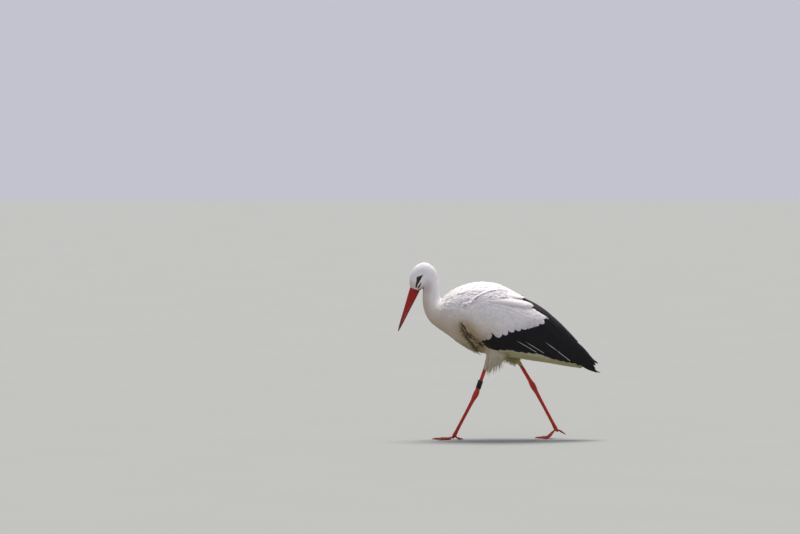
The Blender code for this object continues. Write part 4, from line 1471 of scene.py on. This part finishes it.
def scale_finish():
    """Red horn in blotches, browner near the ground."""
    finish = Finish("leg_scales", Roughness=0.5, Specular_IOR_Level=0.3)
    blotch = finish.noise(0.016) * 0.6 + finish.noise(0.004) * 0.4
    dark = blotch.step(0.35, 0.7) * 0.6 + finish.tone() * 0.2
    colour = finish.mix(dark, (0.58, 0.036, 0.009), (0.33, 0.018, 0.007))
    _, _, z = finish.axes()
    finish.feed(Base_Color=finish.mix(z.step(26, 6) * 0.45, colour, (0.20, 0.055, 0.030)))
    finish.bump(finish.noise(0.0007, 3.0), 0.35, 0.0003)
    return finish.material


LEG_SCALE = scale_finish()
PLATES = [plate(0.18, 0.14, 0.34), plate(0.14, 0.10, 0.30)]  # for the legs and for the toes
for side_name, side in SIDES.items():
    coat = Coat()
    line = LEG_LINES[side_name]
    for place, down, share, turn in round_limb(chance, SKIN, line, -0.15, 0.985, 3.0 * MM, 26 * UNIT):
        if node_at(place).startswith("toe") or place.z > THIGH_FOOT + 4 * UNIT:
            continue
        spine = spine_on(SKIN, place - down * 1.6 * MM, down, 3.5 * MM, 3)
        patch = (turn, 0.1 + 0.8 * share)
        coat.add(0, spine, 1.62 * MM, 0.15 * MM, -0.15 * MM, patch, chance.random())
    knuckle = Vector(line[-1])
    for toe_name in ("inner", "middle", "outer", "hind"):
        claw_low, claw_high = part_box(f"claw_{side_name}_{toe_name}")
        tip = (claw_low + claw_high) / 2 / UNIT
        ahead = (tip - knuckle).normalized()
        reach = (tip - knuckle).length
        at = 10.0
        while at < reach - 5:
            above = (knuckle + ahead * at) * UNIT
            above.z += 20 * MM
            top = SKIN.ray_cast(above, Vector((0, 0, -1)))[0]
            if top:
                spine = spine_on(SKIN, top - ahead * 1.8 * MM, ahead, 4.2 * MM, 3)
                half = (4.6 - 1.6 * at / reach) * UNIT
                patch = (0.1 + 0.2 * len(toe_name) / 6, at / 90)
                coat.add(1, spine, half, 0.0, 0.0, patch, chance.random())
            at += 3.7
    finished(f"leg_scales_{side_name}", coat.mesh(PLATES), [], LEG_SCALE, 40)


# Leg ring: a flat strip of black plastic, wrapped once round the left shin with its end lapped over.
# Its face is bare.
ring_low, ring_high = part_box("leg_ring")
ring_middle = (ring_low + ring_high) / 2
shin_way = (Vector(LEG_LINES["left"][1]) - Vector(LEG_LINES["left"][0])).normalized()
RING_RADIUS, RING_LAP, RING_HALF, RING_TURNS = 9.9 * UNIT, 0.8 * UNIT, 17 * UNIT, 1.16
strip = bmesh.new()
bmesh.ops.create_grid(strip, x_segments=72, y_segments=24, size=1)
for vertex in strip.verts:
    turn = vertex.co.x * math.pi * RING_TURNS
    lap = RING_LAP * (0.5 + 0.5 * vertex.co.x)
    edge_in = 0.25 * MM * vertex.co.y ** 20
    radius = RING_RADIUS + lap - edge_in
    vertex.co = (radius * math.cos(turn), radius * math.sin(turn), vertex.co.y * RING_HALF)
bmesh.ops.solidify(strip, geom=strip.faces[:], thickness=0.65 * MM)
bmesh.ops.recalc_face_normals(strip, faces=strip.faces)
turned = shin_way.to_track_quat("Z", "Y").to_matrix().to_4x4()
bmesh.ops.transform(strip, matrix=Matrix.Translation(ring_middle) @ turned, verts=strip.verts)
# The black plastic is mottled with paler blue-grey patches, which are also rougher and a little raised.
plastic = Finish("ring_plastic_worn", Roughness=0.35)
pale_mottle = plastic.noise(0.003, 5.0)
plastic.feed(
    Base_Color=plastic.mix(pale_mottle.step(0.45, 0.8), (0.012, 0.013, 0.018), (0.035, 0.039, 0.050)),
    Roughness=0.28 + pale_mottle * 0.3,
)
plastic.bump(pale_mottle, 0.2, 0.0002)
finished("ring_strip", strip, ["leg_ring"], plastic.material, 50)


# Stage: a flat pale floor, one high soft lamp, and even light from all round. The camera stands about
# 17 m off with a long lens, and looks slightly down.
floor_mesh = bmesh.new()
bmesh.ops.create_grid(floor_mesh, x_segments=8, y_segments=8, size=40)
floor = bpy.data.objects.new("floor", bpy.data.meshes.new("floor"))
floor_mesh.to_mesh(floor.data)
floor_mesh.free()
bpy.context.scene.collection.objects.link(floor)
floor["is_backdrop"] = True
floor_finish = Finish("studio_floor", Roughness=0.9)
floor_colour = floor_finish.mix(floor_finish.noise(0.6), (0.265, 0.27, 0.255), (0.28, 0.285, 0.27))
floor_finish.feed(Base_Color=floor_colour)
floor.data.materials.append(floor_finish.material)
sun = bpy.data.lights.new("high_softbox", "SUN")
sun.energy = 4.2
sun.angle = math.radians(22)
sun.color = (1.0, 0.975, 0.93)
sun_stand = bpy.data.objects.new("high_softbox", sun)
sun_stand.rotation_euler = Vector((0.02, -0.33, -1.25)).to_track_quat("-Z", "Y").to_euler()
bpy.context.scene.collection.objects.link(sun_stand)
world = bpy.data.worlds.new("studio")
world.use_nodes = True
sky = world.node_tree.nodes["Background"]
sky.inputs["Color"].default_value = (0.87, 0.87, 1.0, 1)
sky.inputs["Strength"].default_value = 0.63
bpy.context.scene.world = world
bpy.context.scene.view_settings.view_transform = "Standard"

camera = bpy.data.objects.new("camera", bpy.data.cameras.new("camera"))
bpy.context.scene.collection.objects.link(camera)
camera.data.lens = 200
camera.data.sensor_width = 36
camera.data.clip_end = 100
camera.location = (-0.3723, -16.886, 1.29)
camera.rotation_euler = (math.radians(87.8481), 0, 0)
bpy.context.scene.camera = camera

low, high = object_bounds()
